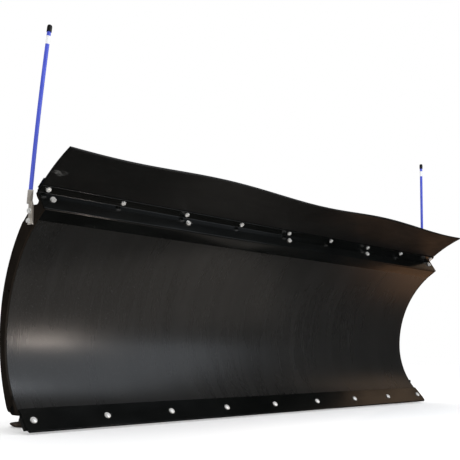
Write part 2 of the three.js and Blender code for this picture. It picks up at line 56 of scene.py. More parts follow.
BLADE_LENGTH = 1.6764
HALF = BLADE_LENGTH / 2
GAP = 0.0003
BOLT_COUNT = 9
BOLT_PITCH = 0.2032
END_BOLT_SHIFT = 0.004
BAR_ABOVE_BOLTS = 0.035
BAR_BELOW_BOLTS = 0.030
BAR_CORNER_ALONG = 0.006
BAR_CORNER_UP = 0.012
BAR_THICKNESS = 0.006
BAR_LEAN = math.radians(42.6)
SHEET_THICKNESS = 0.003
FOOT_BELOW_BOLTS = 0.020
FOOT_ABOVE_BOLTS = 0.037
LOWER_RADIUS = 0.238
UPPER_RADIUS = 0.330
UPPER_SWEEP = math.radians(53.3)
LIP_WIDTH = 0.038
LIP_LEAN = math.radians(57)
FLANGE_WIDTH = 0.054
PLATE_THICKNESS = 0.0048
RIB_THICKNESS = 0.006
ANGLE_LONG = 0.0508
ANGLE_SHORT = 0.0254
ANGLE_THICKNESS = 0.0032
FLAP_WIDTH = 0.1524
FLAP_THICKNESS = 0.006
FLAP_CLAMPED = 0.036
FLEX_GAP = 0.002
FLAP_BOLT_PITCH = 0.2052
FLAP_DROOP = 0.0085
FLAP_WAVE = 0.0085
FLAP_WAVE_LENGTH = 0.725
FLAP_WAVE_X = 0.010
STRIP_LOW = 0.002
STRIP_WIDTH = 0.030
STRIP_THICKNESS = 0.004
FLAP_BOLT_HEIGHT = 0.0132
ANGLE_BOLT_HEIGHT = 0.020

INNER_HALF = HALF - PLATE_THICKNESS - GAP
SIDES = (("left", -1), ("right", 1))


def bolt_row(pitch, end_shift):
    places = [(i - (BOLT_COUNT - 1) / 2) * pitch for i in range(BOLT_COUNT)]
    places[0] += end_shift
    places[-1] -= end_shift
    return places


BOLT_PLACES = bolt_row(BOLT_PITCH, END_BOLT_SHIFT)
FLAP_BOLT_PLACES = bolt_row(FLAP_BOLT_PITCH, 0)

# ---------- the section, from the wear bar up ----------

bar_low, bar_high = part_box("wear_bar")
WEAR_ORIGIN = Vector((
    0,
    bar_low.y + BAR_BELOW_BOLTS * math.sin(BAR_LEAN),
    bar_high.z - BAR_ABOVE_BOLTS * math.cos(BAR_LEAN),
))
WEAR_FRAME = Matrix.Translation(WEAR_ORIGIN) @ Matrix.Rotation(-BAR_LEAN, 4, "X")


def from_wear_frame(y, z):
    point = WEAR_FRAME @ Vector((0, y, z))
    return Vector((point.y, point.z))


SHEET_FRONT = BAR_THICKNESS + GAP
foot = from_wear_frame(SHEET_FRONT, FOOT_ABOVE_BOLTS)
LOWER_CENTRE = foot + LOWER_RADIUS * Vector((-math.cos(BAR_LEAN), math.sin(BAR_LEAN)))
UPPER_CENTRE = LOWER_CENTRE + Vector((LOWER_RADIUS - UPPER_RADIUS, 0))
CREASE = UPPER_CENTRE + UPPER_RADIUS * Vector((math.cos(UPPER_SWEEP), math.sin(UPPER_SWEEP)))
UP = Vector((-math.sin(LIP_LEAN), math.cos(LIP_LEAN)))
OVER = Vector((math.cos(LIP_LEAN), math.sin(LIP_LEAN)))
HEM = CREASE + LIP_WIDTH * UP
ANGLE_CREASE = HEM + (ANGLE_THICKNESS + GAP) * UP + (ANGLE_LONG - ANGLE_THICKNESS) * OVER
DEFLECTOR_FRAME = (
    Matrix.Translation((0, ANGLE_CREASE.x, ANGLE_CREASE.y)) @ Matrix.Rotation(LIP_LEAN, 4, "X")
)


def new_object(name, data):
    made = bpy.data.objects.new(name, data)
    bpy.context.scene.collection.objects.link(made)
    return made


# ---------- camera ----------

CAMERA_OFFSET = Vector((-1.6285, -1.4781, 0.1470))
CAMERA_RIGHT = Vector((0.71700, -0.69707, 0.00237))
CAMERA_FORWARD = Vector((0.69399, 0.71415, 0.09150))
CAMERA_LENS = 55.91
CAMERA_SENSOR = 36
CAMERA_SHIFT = 0.1298
CAMERA_RANGE = (0.05, 60)


def add_camera():
    data = bpy.data.cameras.new("camera")
    data.lens = CAMERA_LENS
    data.sensor_width = CAMERA_SENSOR
    data.shift_y = CAMERA_SHIFT
    data.clip_start, data.clip_end = CAMERA_RANGE
    camera = new_object("camera", data)
    up = CAMERA_RIGHT.cross(CAMERA_FORWARD)
    turn = Matrix((CAMERA_RIGHT, up, -CAMERA_FORWARD)).transposed()
    camera.matrix_world = Matrix.Translation(WEAR_ORIGIN + CAMERA_OFFSET) @ turn.to_4x4()
    bpy.context.scene.camera = camera


# ---------- outlines, as (Y, Z) points ----------


def at(y, z):
    """A point measured from the bolt row's face in Y and from the ground in Z."""
    return Vector((y + WEAR_ORIGIN.y, z))


def from_hem(along_up, along_over):
    return HEM + along_up * UP + along_over * OVER


def arc(centre, radius, start, end, steps):
    angles = [start + (end - start) * i / steps for i in range(steps + 1)]
    return [centre + radius * Vector((math.cos(a), math.sin(a))) for a in angles]


def face_up(offset, steps=26):
    lower = arc(LOWER_CENTRE, LOWER_RADIUS + offset, -BAR_LEAN, 0, steps)
    upper = arc(UPPER_CENTRE, UPPER_RADIUS + offset, 0, UPPER_SWEEP, steps)
    return lower + upper[1:]


def bend(start, middle, end, steps=10):
    """Points on a quadratic curve, without its first point."""
    points = []
    for i in range(1, steps + 1):
        t = i / steps
        points.append((1 - t) ** 2 * start + 2 * t * (1 - t) * middle + t * t * end)
    return points


def fillet(before, corner, after, radius, steps=5):
    """The corner, rounded to a radius."""
    to_before = (before - corner).normalized()
    to_after = (after - corner).normalized()
    half_angle = math.acos(max(-1, min(1, to_before.dot(to_after)))) / 2
    reach = radius / math.tan(half_angle)
    return bend(corner + reach * to_before, corner, corner + reach * to_after, steps)


def rectangle(low_y, low_z, high_y, high_z):
    corners = [(low_y, low_z), (high_y, low_z), (high_y, high_z), (low_y, high_z)]
    return [Vector(corner) for corner in corners]


def rounded(corners, radius):
    points = []
    for i, corner in enumerate(corners):
        points += fillet(corners[i - 1], corner, corners[(i + 1) % len(corners)], radius)
    return points


# ---------- mesh building ----------

EDGE = 0.0005
BEVEL_SEGMENTS = 2
BEVEL_ANGLE = math.radians(35)
# (share of the height, share of the corner radius) up the side of a hexagon
TOP_CHAMFER = [(0.0, 1.0), (0.80, 1.0), (0.88, 0.965), (0.95, 0.93), (1.0, 0.885)]
LOW_CHAMFER = [(0.0, 0.885), (0.05, 0.93), (0.12, 0.965), (0.20, 1.0)]
THREAD_PITCH = 0.00127
THREAD_ROOT = 0.88
THREAD_SIDES = 20


def shade(mesh, sharp_angle=30):
    """Smooth shading, with creases where the faces turn by more than the angle in degrees."""
    mesh.polygons.foreach_set("use_smooth", [True] * len(mesh.polygons))
    mesh.set_sharp_from_angle(angle=math.radians(sharp_angle))
    return mesh


def finish_mesh(name, bm, sharp_angle=30):
    bmesh.ops.recalc_face_normals(bm, faces=bm.faces)
    mesh = bpy.data.meshes.new(name)
    bm.to_mesh(mesh)
    bm.free()
    return shade(mesh, sharp_angle)


def add_piece(name, mesh, finish, body="root", nodes=(), place=None, bevel=0):
    """A visible piece. A piece with no body here is not attached to any body."""
    if not mesh.materials:
        mesh.materials.append(finish.material)
    piece = new_object(name, mesh)
    if place is not None:
        piece.matrix_world = place
    if bevel:
        rounding = piece.modifiers.new("rounding", "BEVEL")
        rounding.width = bevel
        rounding.segments = BEVEL_SEGMENTS
        rounding.limit_method = "ANGLE"
        rounding.angle_limit = BEVEL_ANGLE
        rounding.harden_normals = True
    if nodes:
        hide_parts(*nodes)
    if body:
        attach(piece, body)
    return piece


def add_side_piece(side_name, name, bm, finish, node=None, sharp_angle=30, **more):
    """A piece that one side has, with the side in its name and in its node's."""
    full_name = f"{side_name}_{name}"
    nodes = [f"{side_name}_{node}"] if node else ()
    add_piece(full_name, finish_mesh(full_name, bm, sharp_angle), finish, nodes=nodes, **more)


def extrude_x(outline, low, high, cuts=1):
    """A solid between two X values with the outline as its section."""
    bm = bmesh.new()
    rows = []
    for i in range(cuts + 1):
        x = low + (high - low) * i / cuts
        rows.append([bm.verts.new((x, p.x, p.y)) for p in outline])
    for row, following in zip(rows, rows[1:]):
        for j in range(len(outline)):
            k = (j + 1) % len(outline)
            bm.faces.new((row[j], row[k], following[k], following[j]))
    bm.faces.new(rows[0])
    bm.faces.new(rows[-1])
    return bm


def rings_to_mesh(bm, rings, closed=False):
    """Skins between rings of points; a ring of one point is a tip."""
    made = [[bm.verts.new(p) for p in points] for points in rings]
    pairs = list(zip(made, made[1:])) + ([(made[-1], made[0])] if closed else [])
    for a, b in pairs:
        count = max(len(a), len(b))
        for j in range(count):
            k = (j + 1) % count
            corners = [a[j % len(a)], a[k % len(a)], b[k % len(b)], b[j % len(b)]]
            bm.faces.new(list(dict.fromkeys(corners)))
    if not closed:
        for end in (made[0], made[-1]):
            if len(end) > 2:
                bm.faces.new(end)
    return bm


def ring(radius, height, sides):
    if radius == 0:
        return [Vector((0, 0, height))]
    angles = [2 * math.pi * i / sides for i in range(sides)]
    return [Vector((radius * math.cos(a), radius * math.sin(a), height)) for a in angles]


def lathe(bm, profile, sides=32, closed=False, axis=Vector((0, 0, 0))):
    """Turns (radius, height) points about an upright line. A closed profile makes a tube."""
    return rings_to_mesh(bm, [[p + axis for p in ring(r, z, sides)] for r, z in profile], closed)


def disc(bm, radius, low, high, sides):
    return lathe(bm, [(0, low), (radius, low), (radius, high), (0, high)], sides)


def tube(bm, path, radius, sides=16, ripple=0.0, ripple_length=1.0):
    """A round bar along a path, with an optional ripple in its radius."""
    rings = []
    run = 0
    normal = Vector((1, 0, 0)) if abs((path[1] - path[0]).normalized().x) < 0.9 else Vector((0, 0, 1))
    for i, point in enumerate(path):
        ahead = (path[min(i + 1, len(path) - 1)] - path[max(i - 1, 0)]).normalized()
        normal = (normal - normal.dot(ahead) * ahead).normalized()
        side = ahead.cross(normal)
        if i:
            run += (point - path[i - 1]).length
        size = radius * (1 + ripple * math.sin(2 * math.pi * run / ripple_length))
        angles = [2 * math.pi * j / sides for j in range(sides)]
        rings.append([point + size * (math.cos(a) * normal + math.sin(a) * side) for a in angles])
    return rings_to_mesh(bm, rings)


def hexagon_ring(across_flats, limit, height, sides=36):
    """A hexagon whose corners are cut back to a circle."""
    points = []
    for i in range(sides):
        a = 2 * math.pi * i / sides
        to_flat = (a + math.pi / 6) % (math.pi / 3) - math.pi / 6
        r = min(across_flats / 2 / math.cos(to_flat), limit)
        points.append(Vector((r * math.cos(a), r * math.sin(a), height)))
    return points


def hex_block(bm, across_flats, low, high, chamfer_low=False):
    """A bolt head or nut along Z with its top corners chamfered, and its bottom ones too for a nut."""
    corner = across_flats / math.sqrt(3)
    height = high - low
    steps = LOW_CHAMFER + TOP_CHAMFER[1:] if chamfer_low else TOP_CHAMFER
    rings = [hexagon_ring(across_flats, corner * cut, low + height * t) for t, cut in steps]
    rings_to_mesh(bm, rings)


def threads(bm, radius, low, high):
    root = radius * THREAD_ROOT
    profile = [(0, low)]
    z = low
    while z < high - THREAD_PITCH:
        profile += [(root, z), (radius, z + THREAD_PITCH * 0.5)]
        z += THREAD_PITCH
    profile += [(root, high - 0.0004), (radius * 0.7, high), (0, high)]
    lathe(bm, profile, THREAD_SIDES)


def cut_out(piece_mesh, cutters):
    """Subtracts the cutter meshes from a mesh and returns the result."""
    target = new_object("blank", piece_mesh)
    tools = []
    for cutter in cutters:
        tool = new_object("cutter", cutter)
        modifier = target.modifiers.new("cut", "BOOLEAN")
        modifier.operation = "DIFFERENCE"
        modifier.solver = "EXACT"
        modifier.object = tool
        tools.append(tool)
    evaluated = target.evaluated_get(bpy.context.evaluated_depsgraph_get())
    result = bpy.data.meshes.new_from_object(evaluated)
    for extra in tools + [target]:
        bpy.data.objects.remove(extra)
    result.materials.clear()
    return shade(result)


def drill(x, y, z, radius, reach=0.02):
    """A round cutter along X."""
    bm = lathe(bmesh.new(), [(radius, -reach), (radius, reach)], 28)
    bm.transform(Matrix.Translation((x, y, z)) @ Matrix.Rotation(math.pi / 2, 4, "Y"))
    return finish_mesh("drill", bm)


# ---------- materials ----------


class Finish:
    """A material and its slot, with the few kinds of node that the finishes here share."""

    def __init__(self, name, slot=None):
        self.slot = slot or name
        self.material = bpy.data.materials.new(name)
        self.material.use_nodes = True
        self.tree = self.material.node_tree
        self.place = self.tree.nodes.new("ShaderNodeTexCoord").outputs["Object"]

    def fill(self, node, sockets):
        """Links a socket to another node's output, or sets it to a number or a colour."""
        for name, value in sockets.items():
            socket = node.inputs[name]
            if isinstance(value, bpy.types.NodeSocket):
                self.tree.links.new(value, socket)
            else:
                socket.default_value = (*value, 1) if socket.type == "RGBA" else value
        return node

    def add(self, kind, sockets):
        return self.fill(self.tree.nodes.new(kind), sockets)

    def surface(self, sockets):
        self.fill(self.tree.nodes["Principled BSDF"], sockets)
        return self

    def noise(self, scale, stretch=(1, 1, 1), detail=4, rough=0.5):
        vector = self.add("ShaderNodeMapping", {"Vector": self.place, "Scale": stretch}).outputs["Vector"]
        sockets = {"Vector": vector, "Scale": scale, "Detail": detail, "Roughness": rough}
        return self.add("ShaderNodeTexNoise", sockets).outputs["Fac"]

    def cells(self, scale):
        return self.add("ShaderNodeTexVoronoi", {"Vector": self.place, "Scale": scale}).outputs["Distance"]

    def patch(self, centre, size):
        """1 at a place on the object, falling to 0 at the edge of an ellipsoid round it."""
        shift = [-c / s for c, s in zip(centre, size)]
        scale = [1 / s for s in size]
        mapping = self.add("ShaderNodeMapping", {"Vector": self.place, "Location": shift, "Scale": scale})
        node = self.add("ShaderNodeTexGradient", {"Vector": mapping.outputs["Vector"]})
        node.gradient_type = "SPHERICAL"
        return node.outputs["Fac"]

    def ramp(self, value, *stops):
        node = self.add("ShaderNodeValToRGB", {"Fac": value})
        elements = node.color_ramp.elements
        while len(elements) < len(stops):
            elements.new(0.5)
        for element, (position, colour) in zip(elements, stops):
            element.position = position
            element.color = (*colour, 1)
        return node.outputs["Color"]

    def tones(self, value, first, second):
        return self.ramp(value, (0.3, first), (0.7, second))

    def spread(self, value, low, high, from_low=0.3, from_high=0.7):
        sockets = {
            "Value": value, "From Min": from_low, "From Max": from_high, "To Min": low, "To Max": high,
        }
        return self.add("ShaderNodeMapRange", sockets).outputs["Result"]

    def mix(self, factor, first, second):
        node = self.tree.nodes.new("ShaderNodeMix")
        node.data_type = "RGBA"
        return self.fill(node, {"Factor": factor, "A": first, "B": second}).outputs["Result"]

    def average(self, first, second):
        return self.add("ShaderNodeMix", {"Factor": 0.5, "A": first, "B": second}).outputs["Result"]

    def product(self, first, second):
        node = self.tree.nodes.new("ShaderNodeMath")
        node.operation = "MULTIPLY"
        return self.fill(node, {0: first, 1: second}).outputs["Value"]

    def bump(self, value, strength, distance, below=None):
        sockets = {"Height": value, "Strength": strength, "Distance": distance}
        if below is not None:
            sockets["Normal"] = below
        return self.add("ShaderNodeBump", sockets).outputs["Normal"]


def satin_paint():
    """Powder coat with a fine orange peel, faint streaks and runs down the curve, and a little dust."""
    g = Finish("satin_black_paint")
    streaks = g.noise(9, (1, 0.12, 0.12), detail=6, rough=0.6)
    runs = g.noise(48, (1, 0.07, 0.07), detail=6, rough=0.65)
    specks = g.spread(g.noise(520, detail=2), 0, 1, 0.62, 0.80)
    base = g.tones(streaks, (0.0084, 0.0082, 0.0075), (0.0130, 0.0126, 0.0116))
    dusty = g.mix(specks, base, (0.058, 0.058, 0.060))
    wide = g.bump(g.noise(14, (1, 0.3, 0.3), detail=2), 0.10, 0.004)
    return g.surface({
        "Base Color": g.mix(g.spread(runs, 0, 0.05, 0.5, 0.8), dusty, (0.09, 0.09, 0.092)),
        "Roughness": g.spread(g.average(runs, g.noise(5.5, detail=3)), 0.25, 0.31),
        "Specular IOR Level": 0.45,
        "Normal": g.bump(g.noise(480, detail=3), 0.30, 0.0003, wide),
    })


def gloss_paint():
    """Glossy black enamel with slight waves, fine scratches and rubbed spots."""
    g = Finish("gloss_black_paint")
    base = g.ramp(g.noise(11, detail=5), (0.35, (0.0018, 0.0021, 0.0019)), (0.65, (0.0032, 0.0036, 0.0033)))
    scuffs = g.spread(g.noise(95, (0.15, 1, 1), detail=5, rough=0.7), 0, 1, 0.68, 0.82)
    wide = g.bump(g.noise(28, (0.35, 1, 1), detail=2), 0.10, 0.002)
    return g.surface({
        "Base Color": g.mix(scuffs, base, (0.035, 0.034, 0.033)),
        "Roughness": g.spread(g.noise(26, (0.3, 1, 1), detail=6), 0.13, 0.24),
        "Specular IOR Level": 0.36,
        "Normal": g.bump(g.noise(900, detail=2), 0.05, 0.0002, wide),
    })


def end_paint():
    """The end plates' coat, browner and duller than the bar's."""
    g = Finish("end_plate_paint", "gloss_black_paint")
    base = g.tones(g.noise(16, detail=5), (0.0098, 0.0068, 0.0043), (0.0150, 0.0106, 0.0068))
    rubbed = g.spread(g.noise(70, (1, 1, 0.4), detail=6, rough=0.7), 0, 1, 0.66, 0.84)
    return g.surface({
        "Base Color": g.mix(rubbed, base, (0.040, 0.034, 0.028)),
        "Roughness": g.spread(g.noise(40, detail=5), 0.42, 0.58),
        "Specular IOR Level": 0.13,
        "Normal": g.bump(g.noise(600, detail=2), 0.12, 0.0003),
    })


def painted_pocket_shade():
    """The bottom of the end plates' pockets: near-black, matte tab ends, partly black tab paint and partly
    painted shade that keeps the pockets dark.
    """
    g = Finish("pocket_shade_paint", "gloss_black_paint")
    return g.surface({
        # painted shade: near-black and matte so the pocket bottoms stay dark, on top of the tab ends' black
        # paint
        "Base Color": g.tones(g.noise(60), (0.002, 0.003, 0.003), (0.005, 0.006, 0.006)),
        "Roughness": g.spread(g.noise(90), 0.45, 0.6),
        "Specular IOR Level": 0.2,
    })


RUB_PLACE = (-0.818, -0.109, 0.581)
RUB_SIZE = (0.026, 0.014, 0.010)


def deflector_rubber():
    """Slightly green black sheet rubber with fine grain, pale scuffs and one rub mark near its left end."""
    g = Finish("deflector_rubber")
    clouds = g.noise(7, (0.6, 1, 1), detail=5)
    scuffs = g.spread(g.noise(55, (0.12, 1, 1), detail=7, rough=0.75), 0, 1, 0.70, 0.90)
    specks = g.spread(g.noise(900, detail=1), 0, 1, 0.72, 0.80)
    wisps = g.spread(g.noise(210, (0.5, 1, 1), detail=5), 0, 1, 0.40, 0.66)
    rub = g.spread(g.product(g.patch(RUB_PLACE, RUB_SIZE), wisps), 0, 0.8, 0.04, 0.5)
    base = g.tones(clouds, (0.0036, 0.0038, 0.0033), (0.0066, 0.0066, 0.0058))
    scuffed = g.mix(scuffs, base, (0.10, 0.10, 0.095))
    rubbed = g.mix(rub, scuffed, (0.11, 0.11, 0.105))
    wide = g.bump(g.noise(22, (0.5, 1, 1), detail=2), 0.10, 0.002)
    return g.surface({
        "Base Color": g.mix(specks, rubbed, (0.07, 0.07, 0.068)),
        "Roughness": g.spread(g.noise(30, (0.3, 1, 1), detail=5), 0.42, 0.58),
        "Specular IOR Level": 0.36,
        "Normal": g.bump(g.noise(1400, (0.4, 1, 1), detail=3), 0.16, 0.0003, wide),
    })


def zinc():
    """Bright zinc plate with a faint yellow cast and fine turning marks."""
    g = Finish("zinc_plate")
    return g.surface({
        "Base Color": g.tones(g.noise(160, detail=4), (0.66, 0.65, 0.62), (0.93, 0.93, 0.91)),
        "Metallic": 0.42,
        "Roughness": g.spread(g.noise(300, detail=4), 0.20, 0.36),
        "Normal": g.bump(g.noise(1800, (1, 1, 0.25), detail=2), 0.10, 0.0002),
    })


def bracket_zinc():
    """The marker brackets' strip, greyer and more worn than the bolts."""
    g = Finish("bracket_zinc", "zinc_plate")
    return g.surface({
        "Base Color": g.tones(g.noise(70, (1, 1, 0.4), detail=6), (0.46, 0.40, 0.33), (0.90, 0.86, 0.80)),
        "Metallic": 0.62,
        "Roughness": g.spread(g.noise(140, detail=5), 0.26, 0.44),
        "Normal": g.bump(g.noise(700, (1, 1, 0.3), detail=3), 0.15, 0.0003),
    })


def shoe_steel():
    """Cast steel with brown rust bloom and fine pits."""
    g = Finish("shoe_steel")
    bloom = g.ramp(
        g.noise(48, detail=7, rough=0.65),
        (0.35, (0.030, 0.024, 0.020)), (0.52, (0.075, 0.050, 0.035)), (0.68, (0.165, 0.125, 0.095)),
    )
    pits = g.bump(g.cells(420), 0.25, 0.0004)
    return g.surface({
        "Base Color": bloom,
        "Metallic": 0.45,
        "Roughness": g.spread(g.noise(90, detail=5), 0.45, 0.70),
        "Normal": g.bump(g.noise(260, detail=5), 0.35, 0.0006, pits),
    })


def marker_blue():
    """Fibreglass rod with lengthwise fibres and a faint painted glow (emission) standing in for light that
    passes through it.
    """
    g = Finish("marker_blue")
    fibres = g.noise(900, (1, 1, 0.01), detail=3)
    return g.surface({
        "Base Color": g.tones(fibres, (0.030, 0.050, 0.400), (0.085, 0.120, 0.640)),
        "Roughness": g.spread(g.noise(200, (1, 1, 0.05)), 0.28, 0.42),
        # painted glow: this emission stands in for light passing through the rod, which is no lamp
        "Emission Color": (0.05, 0.07, 0.45),
        "Emission Strength": 0.10,
        "Normal": g.bump(fibres, 0.12, 0.0003),
    })


def marker_white():
    """The white band near the tip of each rod."""
    g = Finish("marker_white")
    return g.surface({
        "Base Color": g.tones(g.noise(180, (1, 1, 0.2)), (0.72, 0.73, 0.74), (0.90, 0.90, 0.91)),
        "Roughness": g.spread(g.noise(240), 0.22, 0.36),
        "Normal": g.bump(g.noise(500), 0.08, 0.0002),
    })


def cap_rubber():
    """Soft black moulded caps."""
    g = Finish("marker_cap_rubber")
    return g.surface({
        "Base Color": g.tones(g.noise(220, detail=4), (0.006, 0.006, 0.006), (0.018, 0.017, 0.016)),
        "Roughness": g.spread(g.noise(260), 0.45, 0.62),
        "Normal": g.bump(g.noise(1500, detail=2), 0.15, 0.0002),
    })


SATIN = satin_paint()
GLOSS = gloss_paint()
END_PAINT = end_paint()
POCKET_SHADE = painted_pocket_shade()
RUBBER = deflector_rubber()
ZINC = zinc()
BRACKET_ZINC = bracket_zinc()
SHOE_STEEL = shoe_steel()
BLUE = marker_blue()
WHITE = marker_white()
CAP_RUBBER = cap_rubber()

# ---------- sheet ----------

HEM_RADIUS = 0.0045
HEM_INNER_RADIUS = 0.0015
SHEET_CUTS = 8


def sheet_outline():
    flange_end = from_hem(0, FLANGE_WIDTH)
    flange_end_back = from_hem(-SHEET_THICKNESS, FLANGE_WIDTH)
    hem_back = from_hem(-SHEET_THICKNESS, SHEET_THICKNESS)
    back = face_up(SHEET_THICKNESS)
    return (
        [from_wear_frame(SHEET_FRONT, -FOOT_BELOW_BOLTS)]
        + face_up(0)
        + fillet(CREASE, HEM, flange_end, HEM_RADIUS, 8)
        + [flange_end, flange_end_back]
        + fillet(flange_end_back, hem_back, back[-1], HEM_INNER_RADIUS)
        + back[::-1]
        + [from_wear_frame(SHEET_FRONT + SHEET_THICKNESS, -FOOT_BELOW_BOLTS)]
    )


sheet_solid = extrude_x(sheet_outline(), -INNER_HALF, INNER_HALF, SHEET_CUTS)
sheet_mesh = finish_mesh("moldboard_sheet_surface", sheet_solid, 20)
sheet_mesh.materials.append(SATIN.material)
sheet_mesh.materials.append(GLOSS.material)
for face in sheet_mesh.polygons:
    height_on_lip = (Vector(face.center.yz) - CREASE).dot(UP)
    faces_down = face.normal.z < 0 and abs(face.normal.x) < 0.5
    if height_on_lip > 0 and faces_down:
        face.material_index = 1
add_piece("moldboard_sheet_surface", sheet_mesh, SATIN, nodes=["moldboard_sheet"], bevel=EDGE)

# ---------- welds ----------

WELD_RADIUS = 0.0032
WELD_SIDES = 8
WELD_STEP = 0.0009
RIPPLE = 0.10
RIPPLE_LENGTH = 0.0034


def fine_path(points, spacing=WELD_STEP):
    path = [points[0]]
    for start, end in zip(points, points[1:]):
        steps = max(1, round((end - start).length / spacing))
        path += [start.lerp(end, i / steps) for i in range(1, steps + 1)]
    return path


def add_weld(name, points, radius=WELD_RADIUS):
    bm = tube(bmesh.new(), fine_path(points), radius, WELD_SIDES, RIPPLE, RIPPLE_LENGTH)
    add_piece(name, finish_mesh(name, bm, 60), SATIN)


def at_x(x, outline):
    return [Vector((x, p.x, p.y)) for p in outline]


# ---------- end plates ----------

PLATE_BACK = 0.1193
PLATE_BACK_HEIGHT = 0.236
PLATE_BACK_RADIUS = 0.362
PLATE_TOP_BACK = 0.483
PLATE_FOOT = 0.020
PLATE_SCOOP = [(-0.0465, 0.514), (-0.0395, 0.5138)]
PLATE_SHOULDER = [(-0.022, 0.5156), (-0.001, 0.499), (0.020, PLATE_TOP_BACK)]
PLATE_HEEL = [(PLATE_BACK, 0.140), (0.074, 0.056)]
PLATE_TOE = [(0.068, 0.0455), (0.056, 0.0453)]
PLATE_TOE_END = (0.047, 0.0403)
PLATE_HOLE = (0.079, 0.325)
PLATE_HOLE_RADIUS = 0.004
# (Y, Z, width, height, lean) of the two pockets by the plate's foot
POCKETS = [(0.048, 0.0792, 0.005, 0.0095, 0.25), (0.0458, 0.052, 0.013, 0.018, 0.64)]
POCKET_DEPTH = PLATE_THICKNESS / 2
TAB_CLEARANCE = 0.0004
TAB_DEPTH = 0.0006


def end_plate_outline():
    top_angle = math.asin((PLATE_TOP_BACK - PLATE_BACK_HEIGHT) / PLATE_BACK_RADIUS)
    back_centre = at(PLATE_BACK - PLATE_BACK_RADIUS, PLATE_BACK_HEIGHT)
    hook = [from_hem(-0.008, FLANGE_WIDTH - 0.0007), from_hem(-0.009, 0.043), from_hem(-0.0075, 0.031)]
    back = arc(back_centre, PLATE_BACK_RADIUS, top_angle, 0, 24)
    heel = bend(back[-1], *[at(*p) for p in PLATE_HEEL], 14)
    return (
        [from_wear_frame(SHEET_FRONT, PLATE_FOOT)]
        + face_up(0)
        + [HEM, from_hem(0, FLANGE_WIDTH)]
        + hook
        + bend(hook[-1], *[at(*p) for p in PLATE_SCOOP], 6)
        + [at(*p) for p in PLATE_SHOULDER]
        + back
        + heel
        + bend(heel[-1], *[at(*p) for p in PLATE_TOE], 5)
        + [at(*PLATE_TOE_END)]
    )


def pocket_mesh(side, y, z, width, height, lean, reach):
    half_y, half_z = width / 2, height / 2
    outline = rounded(rectangle(-half_y, -half_z, half_y, half_z), min(half_y, half_z) * 0.35)
    bm = extrude_x(outline, -reach, reach)
    spot = at(y, z)
    bm.transform(Matrix.Translation((side * HALF, spot.x, spot.y)) @ Matrix.Rotation(-lean, 4, "X"))
    return bm


for side_name, side in SIDES:
    inner_x, outer_x = side * (HALF - PLATE_THICKNESS), side * HALF
    plate = finish_mesh("end_plate", extrude_x(end_plate_outline(), inner_x, outer_x))
    tools = [finish_mesh("pocket", pocket_mesh(side, *pocket, POCKET_DEPTH)) for pocket in POCKETS]
    hole = at(*PLATE_HOLE)
    tools.append(drill(side * HALF, hole.x, hole.y, PLATE_HOLE_RADIUS))
    plate = cut_out(plate, tools)
    plate_node = f"{side_name}_end_plate"
    add_piece(f"{plate_node}_surface", plate, END_PAINT, nodes=[plate_node], bevel=EDGE)
    # near-black tab ends at each pocket's bottom: partly black paint, partly painted shade that keeps the
    # pockets dark
    for i, (y, z, width, height, lean) in enumerate(POCKETS):
        bm = pocket_mesh(side, y, z, width - TAB_CLEARANCE, height - TAB_CLEARANCE, lean, TAB_DEPTH)
        bm.transform(Matrix.Translation((-side * (POCKET_DEPTH - TAB_DEPTH), 0, 0)))
        shaded_tab_name = f"{side_name}_shaded_tab_end_{i + 1}"
        add_piece(shaded_tab_name, finish_mesh(shaded_tab_name, bm), POCKET_SHADE)
    add_weld(f"{side_name}_end_weld", at_x(side * (INNER_HALF - 0.001), face_up(SHEET_THICKNESS + 0.001)))

# ---------- ribs, cross tube and backing bar ----------

RIB_FRONT = SHEET_THICKNESS + GAP
OUTER_RIB_X = 0.520
PIVOT_X = 0.175
PIVOT_GAP = 0.046
PIVOT_SPOT = (0.158, 0.122)
PIVOT_HOLE = 0.0165
SPRING_SPOT = (0.122, 0.316)
SPRING_HOLE = 0.012
TUBE_DEPTH = 0.020
TUBE_HEIGHT = 0.040
TUBE_WALL = 0.0025
TUBE_RADII = (0.004, 0.002)
TUBE_FRONT = LOWER_CENTRE.x + LOWER_RADIUS + SHEET_THICKNESS + GAP
TUBE_LOW = LOWER_CENTRE.y - TUBE_HEIGHT / 2
RIB_LOW = 0.066
RIB_TOP_SHORT = 0.12
RIB_CORNER = 0.008
NOTCH_INTO_SHEET = 0.010
WELD_CLEARANCE = 0.004
PLAIN_BACK = [(0.028, 0.470), (0.128, 0.300), (0.128, 0.120), (0.092, RIB_LOW)]
PIVOT_BACK = [
    (0.028, 0.470), (0.142, 0.330), (0.150, 0.200), (0.178, 0.146),
    (0.182, 0.122), (0.178, 0.100), (0.158, 0.092), (0.092, RIB_LOW),
]


def rib_front():
    low = -math.asin((LOWER_CENTRE.y - RIB_LOW) / (LOWER_RADIUS + RIB_FRONT))
    lower = arc(LOWER_CENTRE, LOWER_RADIUS + RIB_FRONT, low, 0, 20)
    return lower + arc(UPPER_CENTRE, UPPER_RADIUS + RIB_FRONT, 0, UPPER_SWEEP - RIB_TOP_SHORT, 20)[1:]


def soft_corners(points, radius):
    """Keeps the two end points and rounds those between."""
    made = [points[0]]
    for before, corner, after in zip(points, points[1:], points[2:]):
        made += fillet(before, corner, after, radius, 4)
    return made + [points[-1]]


